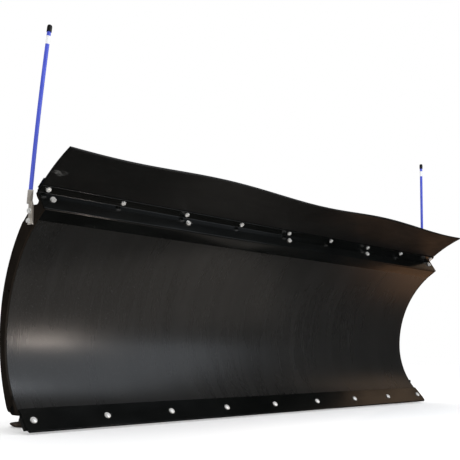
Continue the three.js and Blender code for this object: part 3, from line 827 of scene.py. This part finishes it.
def add_rib(node, x, back, holes):
    outline = rib_front() + soft_corners([at(*p) for p in back], RIB_CORNER)
    blank = finish_mesh("rib", extrude_x(outline, x - RIB_THICKNESS / 2, x + RIB_THICKNESS / 2))
    notch = rectangle(
        TUBE_FRONT - NOTCH_INTO_SHEET, TUBE_LOW - GAP,
        TUBE_FRONT + TUBE_DEPTH + GAP, TUBE_LOW + TUBE_HEIGHT + GAP,
    )
    tools = [finish_mesh("notch", extrude_x(notch, x - 0.02, x + 0.02))]
    for (y, z), radius in holes:
        spot = at(y, z)
        tools.append(drill(x, spot.x, spot.y, radius))
    rib = cut_out(blank, tools)
    add_piece(f"{node}_surface", rib, SATIN, nodes=[node], bevel=EDGE)
    low_part = [p for p in rib_front() if p.y <= TUBE_LOW - WELD_CLEARANCE]
    high_part = [p for p in rib_front() if p.y >= TUBE_LOW + TUBE_HEIGHT + WELD_CLEARANCE]
    for edge_name, edge in (("a", -RIB_THICKNESS / 2), ("b", RIB_THICKNESS / 2)):
        add_weld(f"{node}_weld_low_{edge_name}", at_x(x + edge, low_part))
        add_weld(f"{node}_weld_high_{edge_name}", at_x(x + edge, high_part))


PIVOT_HOLES = [(PIVOT_SPOT, PIVOT_HOLE / 2), (SPRING_SPOT, SPRING_HOLE / 2)]
RIB_STEP = (PIVOT_GAP + RIB_THICKNESS) / 2
for side_name, side in SIDES:
    add_rib(f"{side_name}_outer_rib", side * OUTER_RIB_X, PLAIN_BACK, [])
    add_rib(f"{side_name}_pivot_rib_outer", side * (PIVOT_X + RIB_STEP), PIVOT_BACK, PIVOT_HOLES)
    add_rib(f"{side_name}_pivot_rib_inner", side * (PIVOT_X - RIB_STEP), PIVOT_BACK, PIVOT_HOLES)


def cross_tube():
    back, top = TUBE_FRONT + TUBE_DEPTH, TUBE_LOW + TUBE_HEIGHT
    hollow = rectangle(TUBE_FRONT + TUBE_WALL, TUBE_LOW + TUBE_WALL, back - TUBE_WALL, top - TUBE_WALL)
    outer = rounded(rectangle(TUBE_FRONT, TUBE_LOW, back, top), TUBE_RADII[0])
    inner = rounded(hollow, TUBE_RADII[1])
    ends = [(-INNER_HALF, inner), (-INNER_HALF, outer), (INNER_HALF, outer), (INNER_HALF, inner)]
    return rings_to_mesh(bmesh.new(), [at_x(x, outline) for x, outline in ends], closed=True)


tube_mesh = finish_mesh("cross_tube_surface", cross_tube())
add_piece("cross_tube_surface", tube_mesh, SATIN, nodes=["rear_cross_tube"])

BACKING_FRONT = SHEET_FRONT + SHEET_THICKNESS + GAP
BACKING_THICKNESS = 0.006
BACKING_LOW, BACKING_HIGH = -0.017, 0.018
BAR_EDGE = 0.0006
backing_outline = rectangle(BACKING_FRONT, BACKING_LOW, BACKING_FRONT + BACKING_THICKNESS, BACKING_HIGH)
backing_mesh = finish_mesh("backing_bar_surface", extrude_x(backing_outline, -INNER_HALF, INNER_HALF))
backing_mesh.transform(WEAR_FRAME)
add_piece("backing_bar_surface", backing_mesh, SATIN, nodes=["wear_bar_backing"], bevel=BAR_EDGE)

# ---------- wear bar and its bolts ----------

WEAR_BAR_EDGE = 0.0007
WEAR_BAR_CORNER = 0.0015


def wear_bar():
    cut_high, cut_in = BAR_CORNER_UP - BAR_BELOW_BOLTS, INNER_HALF - BAR_CORNER_ALONG
    corners = [
        (-INNER_HALF, BAR_ABOVE_BOLTS), (INNER_HALF, BAR_ABOVE_BOLTS), (INNER_HALF, cut_high),
        (cut_in, -BAR_BELOW_BOLTS), (-cut_in, -BAR_BELOW_BOLTS), (-INNER_HALF, cut_high),
    ]
    outline = rounded([Vector(c) for c in corners], WEAR_BAR_CORNER)
    rings = [[Vector((p.x, y, p.y)) for p in outline] for y in (0, BAR_THICKNESS)]
    return rings_to_mesh(bmesh.new(), rings)


bar_mesh = finish_mesh("wear_bar_surface", wear_bar())
bar_mesh.transform(WEAR_FRAME)
add_piece("wear_bar_surface", bar_mesh, GLOSS, nodes=["wear_bar"], bevel=WEAR_BAR_EDGE)

# a bolt is built with its head along +Z from 0, and turned so that the head points along -Y
BOLT_TURN = Matrix.Rotation(math.pi / 2, 4, "X")
DOME_RADIUS = 0.0086
DOME_HEIGHT = 0.0044
DOME_RIM = 0.0006
LARGE_FLATS, LARGE_HEAD, LARGE_THREAD, LARGE_NUT = 0.0127, 0.0053, 0.0039, 0.0067
SMALL_FLATS, SMALL_HEAD, SMALL_THREAD, SMALL_NUT = 0.0111, 0.0042, 0.0031, 0.0056
SEAT_SHARE, SEAT_LOW, SEAT_HIGH = 0.49, 0.0001, 0.0005
WASHER_SHARE, WASHER_FRONT, WASHER_BACK = 0.86, 0.0001, 0.0014
WEAR_WASHER_RADIUS, WEAR_WASHER_BACK = 0.0085, 0.0016
WEAR_NUT_FRONT, WEAR_NUT_BACK, WEAR_THREAD_FRONT, WEAR_THREAD_BACK = 0.0017, 0.0084, 0.001, 0.0105
THREAD_END = 0.0026


def carriage_bolt():
    """Domed head, then washer, nut and thread behind the backing bar."""
    bm = bmesh.new()
    angles = [i * math.pi / 20 for i in range(1, 10)]
    dome = [(DOME_RADIUS * math.cos(a), DOME_HEIGHT * math.sin(a) + DOME_RIM) for a in angles]
    rim = [(0, 0), (DOME_RADIUS * 0.985, 0), (DOME_RADIUS, 0.0004)]
    lathe(bm, rim + dome + [(0, DOME_HEIGHT + DOME_RIM)])
    back = -BACKING_FRONT - BACKING_THICKNESS
    disc(bm, WEAR_WASHER_RADIUS, back - GAP, back - WEAR_WASHER_BACK, 28)
    hex_block(bm, LARGE_FLATS, back - WEAR_NUT_BACK, back - WEAR_NUT_FRONT, chamfer_low=True)
    threads(bm, LARGE_THREAD, back - WEAR_THREAD_BACK, back - WEAR_THREAD_FRONT)
    return finish_mesh("carriage_bolt", bm)


def hex_bolt(across_flats, head, thread_radius, grip, nut):
    """Head on a thin seat, then washer, nut and thread behind the grip."""
    bm = bmesh.new()
    disc(bm, across_flats * SEAT_SHARE, SEAT_LOW, SEAT_HIGH, 36)
    hex_block(bm, across_flats, SEAT_HIGH, head)
    disc(bm, across_flats * WASHER_SHARE, -grip - WASHER_FRONT, -grip - WASHER_BACK, 36)
    hex_block(bm, across_flats, -grip - nut, -grip - WASHER_BACK - 0.0001, chamfer_low=True)
    threads(bm, thread_radius, -grip - nut - THREAD_END, -grip)
    return finish_mesh("hex_bolt", bm)


def add_bolts(kind, mesh, places, base, spin_step, spin_start=0):
    """A row of bolts along X, each turned a little further than the last."""
    for i, x in enumerate(places):
        name = f"{kind}_bolt_{i + 1}"
        place = Matrix.Translation((x, 0, 0)) @ base @ Matrix.Rotation(spin_step * i + spin_start, 4, "Z")
        add_piece(f"{name}_surface", mesh, ZINC, nodes=[name], place=place)


add_bolts("wear", carriage_bolt(), BOLT_PLACES, WEAR_FRAME @ BOLT_TURN, 0.7)

# ---------- deflector ----------

ANGLE_FLAP_HEIGHT = ANGLE_SHORT - ANGLE_THICKNESS
ANGLE_REACH = ANGLE_LONG - ANGLE_THICKNESS
ANGLE_HEEL_RADIUS = 0.003
ANGLE_ROOT_RADIUS = 0.0022
ANGLE_TOE_RADIUS = 0.0014
THIN_EDGE = 0.0004


def angle_outline():
    root, heel = Vector((0, 0)), Vector((ANGLE_THICKNESS, -ANGLE_THICKNESS))
    long_back, long_front = Vector((-ANGLE_REACH, -ANGLE_THICKNESS)), Vector((-ANGLE_REACH, 0))
    top_back, top_front = Vector((ANGLE_THICKNESS, ANGLE_FLAP_HEIGHT)), Vector((0, ANGLE_FLAP_HEIGHT))
    return (
        [long_back]
        + fillet(long_back, heel, top_back, ANGLE_HEEL_RADIUS)
        + [top_back]
        + fillet(top_back, top_front, root, ANGLE_TOE_RADIUS)
        + fillet(top_front, root, long_front, ANGLE_ROOT_RADIUS)
        + fillet(root, long_front, long_back, ANGLE_TOE_RADIUS)
    )


angle_mesh = finish_mesh("deflector_angle_surface", extrude_x(angle_outline(), -HALF, HALF))
angle_mesh.transform(DEFLECTOR_FRAME)
add_piece("deflector_angle_surface", angle_mesh, GLOSS, nodes=["deflector_angle"], bevel=THIN_EDGE)

FLAP_FRONT = ANGLE_THICKNESS + GAP
FLAP_LOW = -ANGLE_THICKNESS
CLAMP_TOP = FLAP_LOW + FLAP_CLAMPED
FREE_LOW = CLAMP_TOP + FLEX_GAP
FLAP_TOP = FLAP_LOW + FLAP_WIDTH
FLAP_ROWS = 30
FLAP_CUTS = 150
FLAP_EDGE = 0.0012
# (distance from the flap's end, share of its thickness) where the end is softened
FLAP_ENDS = [(0, 0.75), (0.0006, 0.93), (0.0014, 1.0)]


def flap_drop(x, z):
    """How far the flap has bent towards the front at a place on it."""
    if z <= FREE_LOW:
        return 0
    along = (z - FREE_LOW) / (FLAP_TOP - FREE_LOW)
    phase = 2 * math.pi * (x - FLAP_WAVE_X) / FLAP_WAVE_LENGTH
    return (FLAP_DROOP + FLAP_WAVE * math.cos(phase)) * along * along


def flap_section():
    """Front side from the low edge up, then the back side down, with softened edges."""
    e, across, along = FLAP_EDGE, 0.35 * FLAP_EDGE, 0.3 * FLAP_EDGE
    t = FLAP_THICKNESS
    heights = [FLAP_LOW + e + (FLAP_WIDTH - 2 * e) * i / FLAP_ROWS for i in range(FLAP_ROWS + 1)]
    front = [(0, z) for z in heights]
    back = [(t, z) for z in heights[::-1]]
    top = [(across, FLAP_TOP - along), (e, FLAP_TOP), (t - e, FLAP_TOP), (t - across, FLAP_TOP - along)]
    low = [(t - across, FLAP_LOW + along), (t - e, FLAP_LOW), (e, FLAP_LOW), (across, FLAP_LOW + along)]
    return front + top + back + low


def flap():
    section = flap_section()
    rings = []
    ends = [(-HALF + inset, size) for inset, size in FLAP_ENDS]
    stations = ends + [(-HALF + BLADE_LENGTH * i / FLAP_CUTS, 1.0) for i in range(1, FLAP_CUTS)]
    stations += [(-x, size) for x, size in ends[::-1]]
    half = FLAP_THICKNESS / 2
    for x, size in stations:
        rings.append([
            Vector((x, FLAP_FRONT + half + (y - half) * size - flap_drop(x, z), z)) for y, z in section
        ])
    return rings_to_mesh(bmesh.new(), rings)


flap_mesh = finish_mesh("deflector_flap_rubber", flap(), 50)
flap_mesh.transform(DEFLECTOR_FRAME)
flap_piece = add_piece(
    "deflector_flap_rubber", flap_mesh, RUBBER, body=None,
    nodes=["deflector_flap", "deflector_flap_clamped_edge"],
)
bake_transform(flap_piece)

STRIP_FRONT = FLAP_FRONT + FLAP_THICKNESS + GAP
STRIP_CORNER = 0.0008
FLAP_GRIP = STRIP_FRONT + STRIP_THICKNESS
strip_outline = rounded(rectangle(STRIP_FRONT, STRIP_LOW, FLAP_GRIP, STRIP_LOW + STRIP_WIDTH), STRIP_CORNER)
strip_mesh = finish_mesh("backing_strip_surface", extrude_x(strip_outline, -HALF, HALF))
strip_mesh.transform(DEFLECTOR_FRAME)
add_piece(
    "backing_strip_surface", strip_mesh, GLOSS, nodes=["deflector_backing_strip"], bevel=THIN_EDGE
)

FLAP_BOLT = hex_bolt(SMALL_FLATS, SMALL_HEAD, SMALL_THREAD, FLAP_GRIP, SMALL_NUT)
FLAP_BOLT_BASE = DEFLECTOR_FRAME @ Matrix.Translation((0, 0, FLAP_BOLT_HEIGHT)) @ BOLT_TURN
add_bolts("flap", FLAP_BOLT, FLAP_BOLT_PLACES, FLAP_BOLT_BASE, 1.1, 0.3)
LIP_GRIP = ANGLE_THICKNESS + GAP + SHEET_THICKNESS
ANGLE_BOLT = hex_bolt(LARGE_FLATS, LARGE_HEAD, LARGE_THREAD, LIP_GRIP, LARGE_NUT)
ANGLE_BOLT_BASE = DEFLECTOR_FRAME @ Matrix.Translation((0, -ANGLE_BOLT_HEIGHT, 0))
add_bolts("angle", ANGLE_BOLT, BOLT_PLACES[::2], ANGLE_BOLT_BASE, 0.9, 0.2)

# ---------- marker rods ----------

ROD_RADIUS = 0.00475
ROD_SEAT = ROD_RADIUS + GAP
MARKER_BASE = Vector((0.8405, -0.0159 + WEAR_ORIGIN.y, 0.550))
ROD_LEAN = 0.0641
ROD_BEND = 0.0515
ROD_INWARD = 0.81
ROD_FORWARD = 0.58
ROD_GRIP = 0.031
ROD_REACH = {"left": 0.389, "right": 0.369}
CAP_LENGTH = 0.014
WHITE_BELOW_TIP = 0.0265
WHITE_LENGTH = 0.0195
WHITE_SKIN = 0.0002
ROD_SHIFT = 0.003
TAB_THICKNESS = 0.004
TAB_INNER = HALF + GAP
TAB_CORNER = 0.002
MARKER_BOLT_SPOTS = [(-0.018, 0.502), (-0.015, 0.4795)]
MARKER_BOLT_FLATS = 0.0100
MARKER_BOLT_THREAD = 0.0030
MARKER_BOLT_HEAD, MARKER_BOLT_NUT, MARKER_BOLT_END = 0.0046, 0.0055, 0.0090
MARKER_BOLT_FLANGE = [(0, 0), (0.0066, 0), (0.0066, 0.0009), (0.0058, 0.0014), (0, 0.0014)]
TAB_OUTLINE = [
    (-0.029, 0.470), (-0.0293, 0.512), (-0.024, 0.524), (-0.0105, 0.524), (-0.0105, 0.500), (-0.008, 0.471),
]
ROLL_RADIUS = 0.0064
# (height on the rod, offset from its axis) of the fillet between the strip and its roll
NECK = [
    (-ROD_GRIP - 0.006, (0.0005, -0.003, 0)),
    (-ROD_GRIP + 0.002, (0.0003, -0.002, 0)),
    (-0.008, (0.0008, -0.0052, 0)),
]
NECK_RADIUS = 0.0026
CAP_PROFILE = [
    (0, -GAP), (ROD_SEAT, -GAP), (ROD_SEAT, -CAP_LENGTH), (0.0056, -CAP_LENGTH),
    (0.0059, -CAP_LENGTH + 0.0005), (0.0058, -0.001), (0.0054, 0.001), (0.0044, 0.0026), (0.0026, 0.0036),
    (0, 0.004),
]


def on_rod(height):
    run = ROD_LEAN * height + ROD_BEND * height * height
    return MARKER_BASE + Vector((-ROD_INWARD * run, -ROD_FORWARD * run, height))


def rod_path(low, high, steps):
    return [on_rod(low + (high - low) * i / steps) for i in range(steps + 1)]


def along_rod(height):
    return (on_rod(height) - on_rod(height - 0.005)).normalized()


def marker_bracket():
    """A strip whose upper end is rolled round the rod, with a thickened neck where the two meet."""
    outline = soft_corners([at(*p) for p in TAB_OUTLINE], TAB_CORNER)
    bm = extrude_x(outline, TAB_INNER, TAB_INNER + TAB_THICKNESS)
    corners = [(ROLL_RADIUS, -ROD_GRIP), (ROLL_RADIUS, 0), (ROD_SEAT, 0), (ROD_SEAT, -ROD_GRIP)]
    rings_to_mesh(bm, [[on_rod(z) + p for p in ring(r, 0, 32)] for r, z in corners], closed=True)
    neck = [on_rod(height) + Vector(offset) for height, offset in NECK]
    return tube(bm, fine_path(neck, 0.004), NECK_RADIUS, 12)


def marker_bolt(spot):
    """Flanged head outside the strip, nut inside the plate, all along X."""
    bm = bmesh.new()
    outside = TAB_INNER + TAB_THICKNESS + 0.0002
    lathe(bm, [(r, outside + z) for r, z in MARKER_BOLT_FLANGE])
    hex_block(bm, MARKER_BOLT_FLATS, outside + 0.0012, outside + MARKER_BOLT_HEAD)
    hex_block(bm, MARKER_BOLT_FLATS, INNER_HALF - MARKER_BOLT_NUT, INNER_HALF, chamfer_low=True)
    threads(bm, MARKER_BOLT_THREAD, INNER_HALF - MARKER_BOLT_END, INNER_HALF)
    place = at(*spot)
    bm.transform(Matrix.Translation((0, place.x, place.y)) @ Matrix.Rotation(math.pi / 2, 4, "Y"))
    return bm


for side_name, side in SIDES:

    def add_marker_piece(name, bm, finish, node=None, bevel=0):
        """A piece built for the right side, mirrored for the left."""
        bm.transform(Matrix.Diagonal((side, 1, 1, 1)))
        add_side_piece(side_name, name, bm, finish, node, bevel=bevel)

    reach = ROD_REACH[side_name]
    add_marker_piece("marker_bracket_surface", marker_bracket(), BRACKET_ZINC, "marker_bracket", EDGE)
    rod = tube(bmesh.new(), rod_path(-ROD_GRIP + ROD_SHIFT, reach, 40), ROD_RADIUS, 20)
    add_marker_piece("marker_rod_surface", rod, BLUE, "marker_rod")
    band_top = reach - WHITE_BELOW_TIP + ROD_SHIFT
    band = tube(bmesh.new(), rod_path(band_top - WHITE_LENGTH, band_top, 6), ROD_RADIUS + WHITE_SKIN, 20)
    add_marker_piece("marker_band", band, WHITE)
    cap = lathe(bmesh.new(), CAP_PROFILE, 24)
    turn = Vector((0, 0, 1)).rotation_difference(along_rod(reach)).to_matrix().to_4x4()
    cap.transform(Matrix.Translation(on_rod(reach) + 2 * GAP * along_rod(reach)) @ turn)
    add_marker_piece("marker_cap_surface", cap, CAP_RUBBER, "marker_cap")
    for i, spot in enumerate(MARKER_BOLT_SPOTS):
        bolt = f"marker_bolt_{i + 1}"
        add_marker_piece(f"{bolt}_surface", marker_bolt(spot), ZINC, bolt)

# ---------- skid shoes ----------

SHOE_X = 0.736
SHOE_Y = 0.160 + WEAR_ORIGIN.y
STEM_RADIUS = 0.0125
SLEEVE_INNER = 0.0131
SLEEVE_OUTER = 0.019
SLEEVE_BOTTOM = 0.062
SLEEVE_TOP = 0.120
GUSSET_TOP = 0.156
GUSSET_KNEE = (0.108, 0.114)
GUSSET_HALF = 0.004
GUSSET_IN_SLEEVE = 0.002
SLEEVE_WELD_Z = (0.069, 0.107)
SLEEVE_WELD_RADIUS = 0.0028
SHOULDER = 0.0377
STEM_TOP = 0.178
PIN_HEIGHT = 0.166
PIN_STATIONS = (-0.021, -0.0202, 0.0212, 0.022)
PIN_RADIUS = 0.0031
PULL_RING_RADIUS = 0.009
PULL_RING_WIRE = 0.0015
PULL_RING_CENTRE = 0.030
PULL_RING_TURN = 0.97
WASHER_COUNT = 5
WASHER_RADIUS = 0.018
WASHER_EDGE = 0.0004
WASHER_SPACE = 0.0002
FOOT_PROFILE = [
    (0, 0), (0.0305, 0), (0.034, 0.0006), (0.038, 0.0025), (0.0415, 0.0056), (0.043, 0.0078),
    (0.0424, 0.0092), (0.0408, 0.0095), (0.038, 0.0072), (0.035, 0.0058), (0.030, 0.0060), (0.0255, 0.0074),
    (0.0228, 0.012), (0.0208, 0.020), (0.0192, 0.029), (0.0184, SHOULDER - 0.0012), (0.0176, SHOULDER),
    (STEM_RADIUS + 0.0004, SHOULDER), (STEM_RADIUS, SHOULDER + 0.0006), (STEM_RADIUS, STEM_TOP - 0.002),
    (STEM_RADIUS - 0.002, STEM_TOP), (0, STEM_TOP),
]


def shoe_bracket(x):
    radius = LOWER_RADIUS + RIB_FRONT
    low = -math.asin((LOWER_CENTRE.y - RIB_LOW) / radius)
    high = -math.asin((LOWER_CENTRE.y - GUSSET_TOP) / radius)
    outline = arc(LOWER_CENTRE, radius, low, high, 10)
    reach = SHOE_Y - SLEEVE_OUTER + GUSSET_IN_SLEEVE
    outline += [at(*GUSSET_KNEE), Vector((reach, SLEEVE_TOP - 0.010)), Vector((reach, RIB_LOW))]
    bm = extrude_x(outline, x - GUSSET_HALF, x + GUSSET_HALF)
    sleeve = [
        (SLEEVE_INNER, SLEEVE_BOTTOM), (SLEEVE_OUTER, SLEEVE_BOTTOM),
        (SLEEVE_OUTER, SLEEVE_TOP), (SLEEVE_INNER, SLEEVE_TOP),
    ]
    return lathe(bm, sleeve, 40, closed=True, axis=Vector((x, SHOE_Y, 0)))


def washers():
    bm = bmesh.new()
    low = SHOULDER + GAP
    step = (SLEEVE_BOTTOM - 2 * GAP - SHOULDER) / WASHER_COUNT
    inner, outer, edge = STEM_RADIUS + GAP, WASHER_RADIUS, WASHER_EDGE
    for i in range(WASHER_COUNT):
        bottom = low + i * step
        top = bottom + step - WASHER_SPACE
        lower = [(inner, bottom), (outer - edge, bottom), (outer, bottom + edge)]
        upper = [(outer, top - edge), (outer - edge, top), (inner, top)]
        lathe(bm, lower + upper, 36, closed=True)
    return bm


def shoe_pin():
    """A straight pin along X with a pull ring through its end."""
    bm = bmesh.new()
    tube(bm, [Vector((x, 0, 0)) for x in PIN_STATIONS], PIN_RADIUS, 16)
    circle = []
    for i in range(41):
        a = 2 * math.pi * i / 40 * PULL_RING_TURN
        across, along = PULL_RING_RADIUS * math.cos(a), PULL_RING_RADIUS * math.sin(a)
        circle.append(Vector((PULL_RING_CENTRE - across, along, 0)))
    return tube(bm, circle, PULL_RING_WIRE, 10)


for side_name, side in SIDES:
    x = side * SHOE_X
    foot_place = Matrix.Translation((x, SHOE_Y, 0))
    pin_place = Matrix.Translation((x, SHOE_Y, PIN_HEIGHT))
    shoe, spacers = f"{side_name}_shoe", f"{side_name}_shoe_spacers"
    add_side_piece(side_name, "shoe_bracket_surface", shoe_bracket(x), SATIN, "shoe_bracket", bevel=EDGE)
    for edge_name, edge in (("a", -GUSSET_HALF), ("b", GUSSET_HALF)):
        ends = [Vector((x + edge, SHOE_Y - SLEEVE_OUTER + 0.0008, z)) for z in SLEEVE_WELD_Z]
        add_weld(f"{side_name}_sleeve_weld_{edge_name}", ends, SLEEVE_WELD_RADIUS)
    add_side_piece(
        side_name, "washer_stack", washers(), ZINC, "shoe_washers", body=spacers, place=foot_place
    )
    foot = lathe(bmesh.new(), FOOT_PROFILE, 56)
    add_side_piece(side_name, "skid_foot", foot, SHOE_STEEL, "skid_shoe", 40, body=shoe, place=foot_place)
    add_side_piece(side_name, "pull_pin", shoe_pin(), ZINC, "shoe_pin", body=shoe, place=pin_place)

# ---------- stage and light ----------

FLOOR_REACH = 12
FLOOR_LEVEL = -0.0005
FLOOR_GREY = 0.80
FLOOR_GLOW = 0.25
REFLECTED_ROOM = (0.026, 0.026, 0.027, 1)
WHITE_LIGHT = (1, 1, 1, 1)
# (name, place, target, width and height, power, colour)
LIGHTS = [
    ("window", (-0.2, -0.88, 0.27), (-0.76, 0.08, 0.21), (0.08, 0.06), 1.65, (1.0, 0.86, 0.76)),
    ("softbox", (0.5, -1.5, 1.12), (-0.45, 0.05, 0.15), (1.5, 2.0), 13.5, (0.84, 0.91, 1.0)),
    ("high left", (-0.1, -1.0, 1.5), (-0.78, 0.05, 0.1), (0.4, 0.35), 1.7, (0.88, 0.93, 1.0)),
    ("floor bounce", (-0.05, -0.34, 0.01), (-0.2, 0.0, 0.36), (1.1, 0.42), 0.50, (1.0, 0.91, 0.82)),
    ("warm floor", (1.38, 0.34, 0.02), (0.7, -0.10, 0.58), (1.3, 0.45), 1.05, (1.0, 0.52, 0.26)),
    ("warm panel", (2.0, -0.28, 0.95), (0.6, 0, 0.05), (0.45, 0.45), 0.36, (1.0, 0.68, 0.44)),
    ("top", (0.5, 1.4, 2.9), (0, 0, 0.2), (2.4, 1.6), 14, (1, 1, 1)),
]


def add_light(name, place, target, size, energy, colour):
    data = bpy.data.lights.new(name, "AREA")
    data.shape = "RECTANGLE"
    data.size, data.size_y = size
    data.energy = energy
    data.color = colour
    light = new_object(name, data)
    light.location = place
    light.visible_camera = False
    light.rotation_mode = "QUATERNION"
    light.rotation_quaternion = (Vector(target) - Vector(place)).to_track_quat("-Z", "Y")


def add_floor():
    mesh = bpy.data.meshes.new("floor")
    r = FLOOR_REACH
    corners = [(-r, -r, 0), (r, -r, 0), (r, r, 0), (-r, r, 0)]
    mesh.from_pydata(corners, [], [(0, 1, 2, 3)])
    floor = new_object("floor", mesh)
    floor.location.z = FLOOR_LEVEL
    material = bpy.data.materials.new("floor")
    material.use_nodes = True
    shader = material.node_tree.nodes["Principled BSDF"]
    shader.inputs["Base Color"].default_value = (FLOOR_GREY, FLOOR_GREY, FLOOR_GREY, 1)
    shader.inputs["Roughness"].default_value = 0.9
    shader.inputs["Specular IOR Level"].default_value = 0.1
    shader.inputs["Emission Color"].default_value = WHITE_LIGHT
    shader.inputs["Emission Strength"].default_value = FLOOR_GLOW
    mesh.materials.append(material)
    floor.visible_glossy = False


def add_world():
    """A white room, which is nearly black where the object reflects it."""
    world = bpy.data.worlds.new("studio")
    bpy.context.scene.world = world
    world.use_nodes = True
    tree = world.node_tree
    bright = tree.nodes["Background"]
    bright.inputs["Color"].default_value = WHITE_LIGHT
    dim = tree.nodes.new("ShaderNodeBackground")
    dim.inputs["Color"].default_value = REFLECTED_ROOM
    path = tree.nodes.new("ShaderNodeLightPath")
    choose = tree.nodes.new("ShaderNodeMixShader")
    tree.links.new(path.outputs["Is Glossy Ray"], choose.inputs["Fac"])
    tree.links.new(bright.outputs["Background"], choose.inputs[1])
    tree.links.new(dim.outputs["Background"], choose.inputs[2])
    tree.links.new(choose.outputs["Shader"], tree.nodes["World Output"].inputs["Surface"])
    bpy.context.scene.view_settings.view_transform = "Standard"


add_camera()
add_floor()
add_world()
for light in LIGHTS:
    add_light(*light)
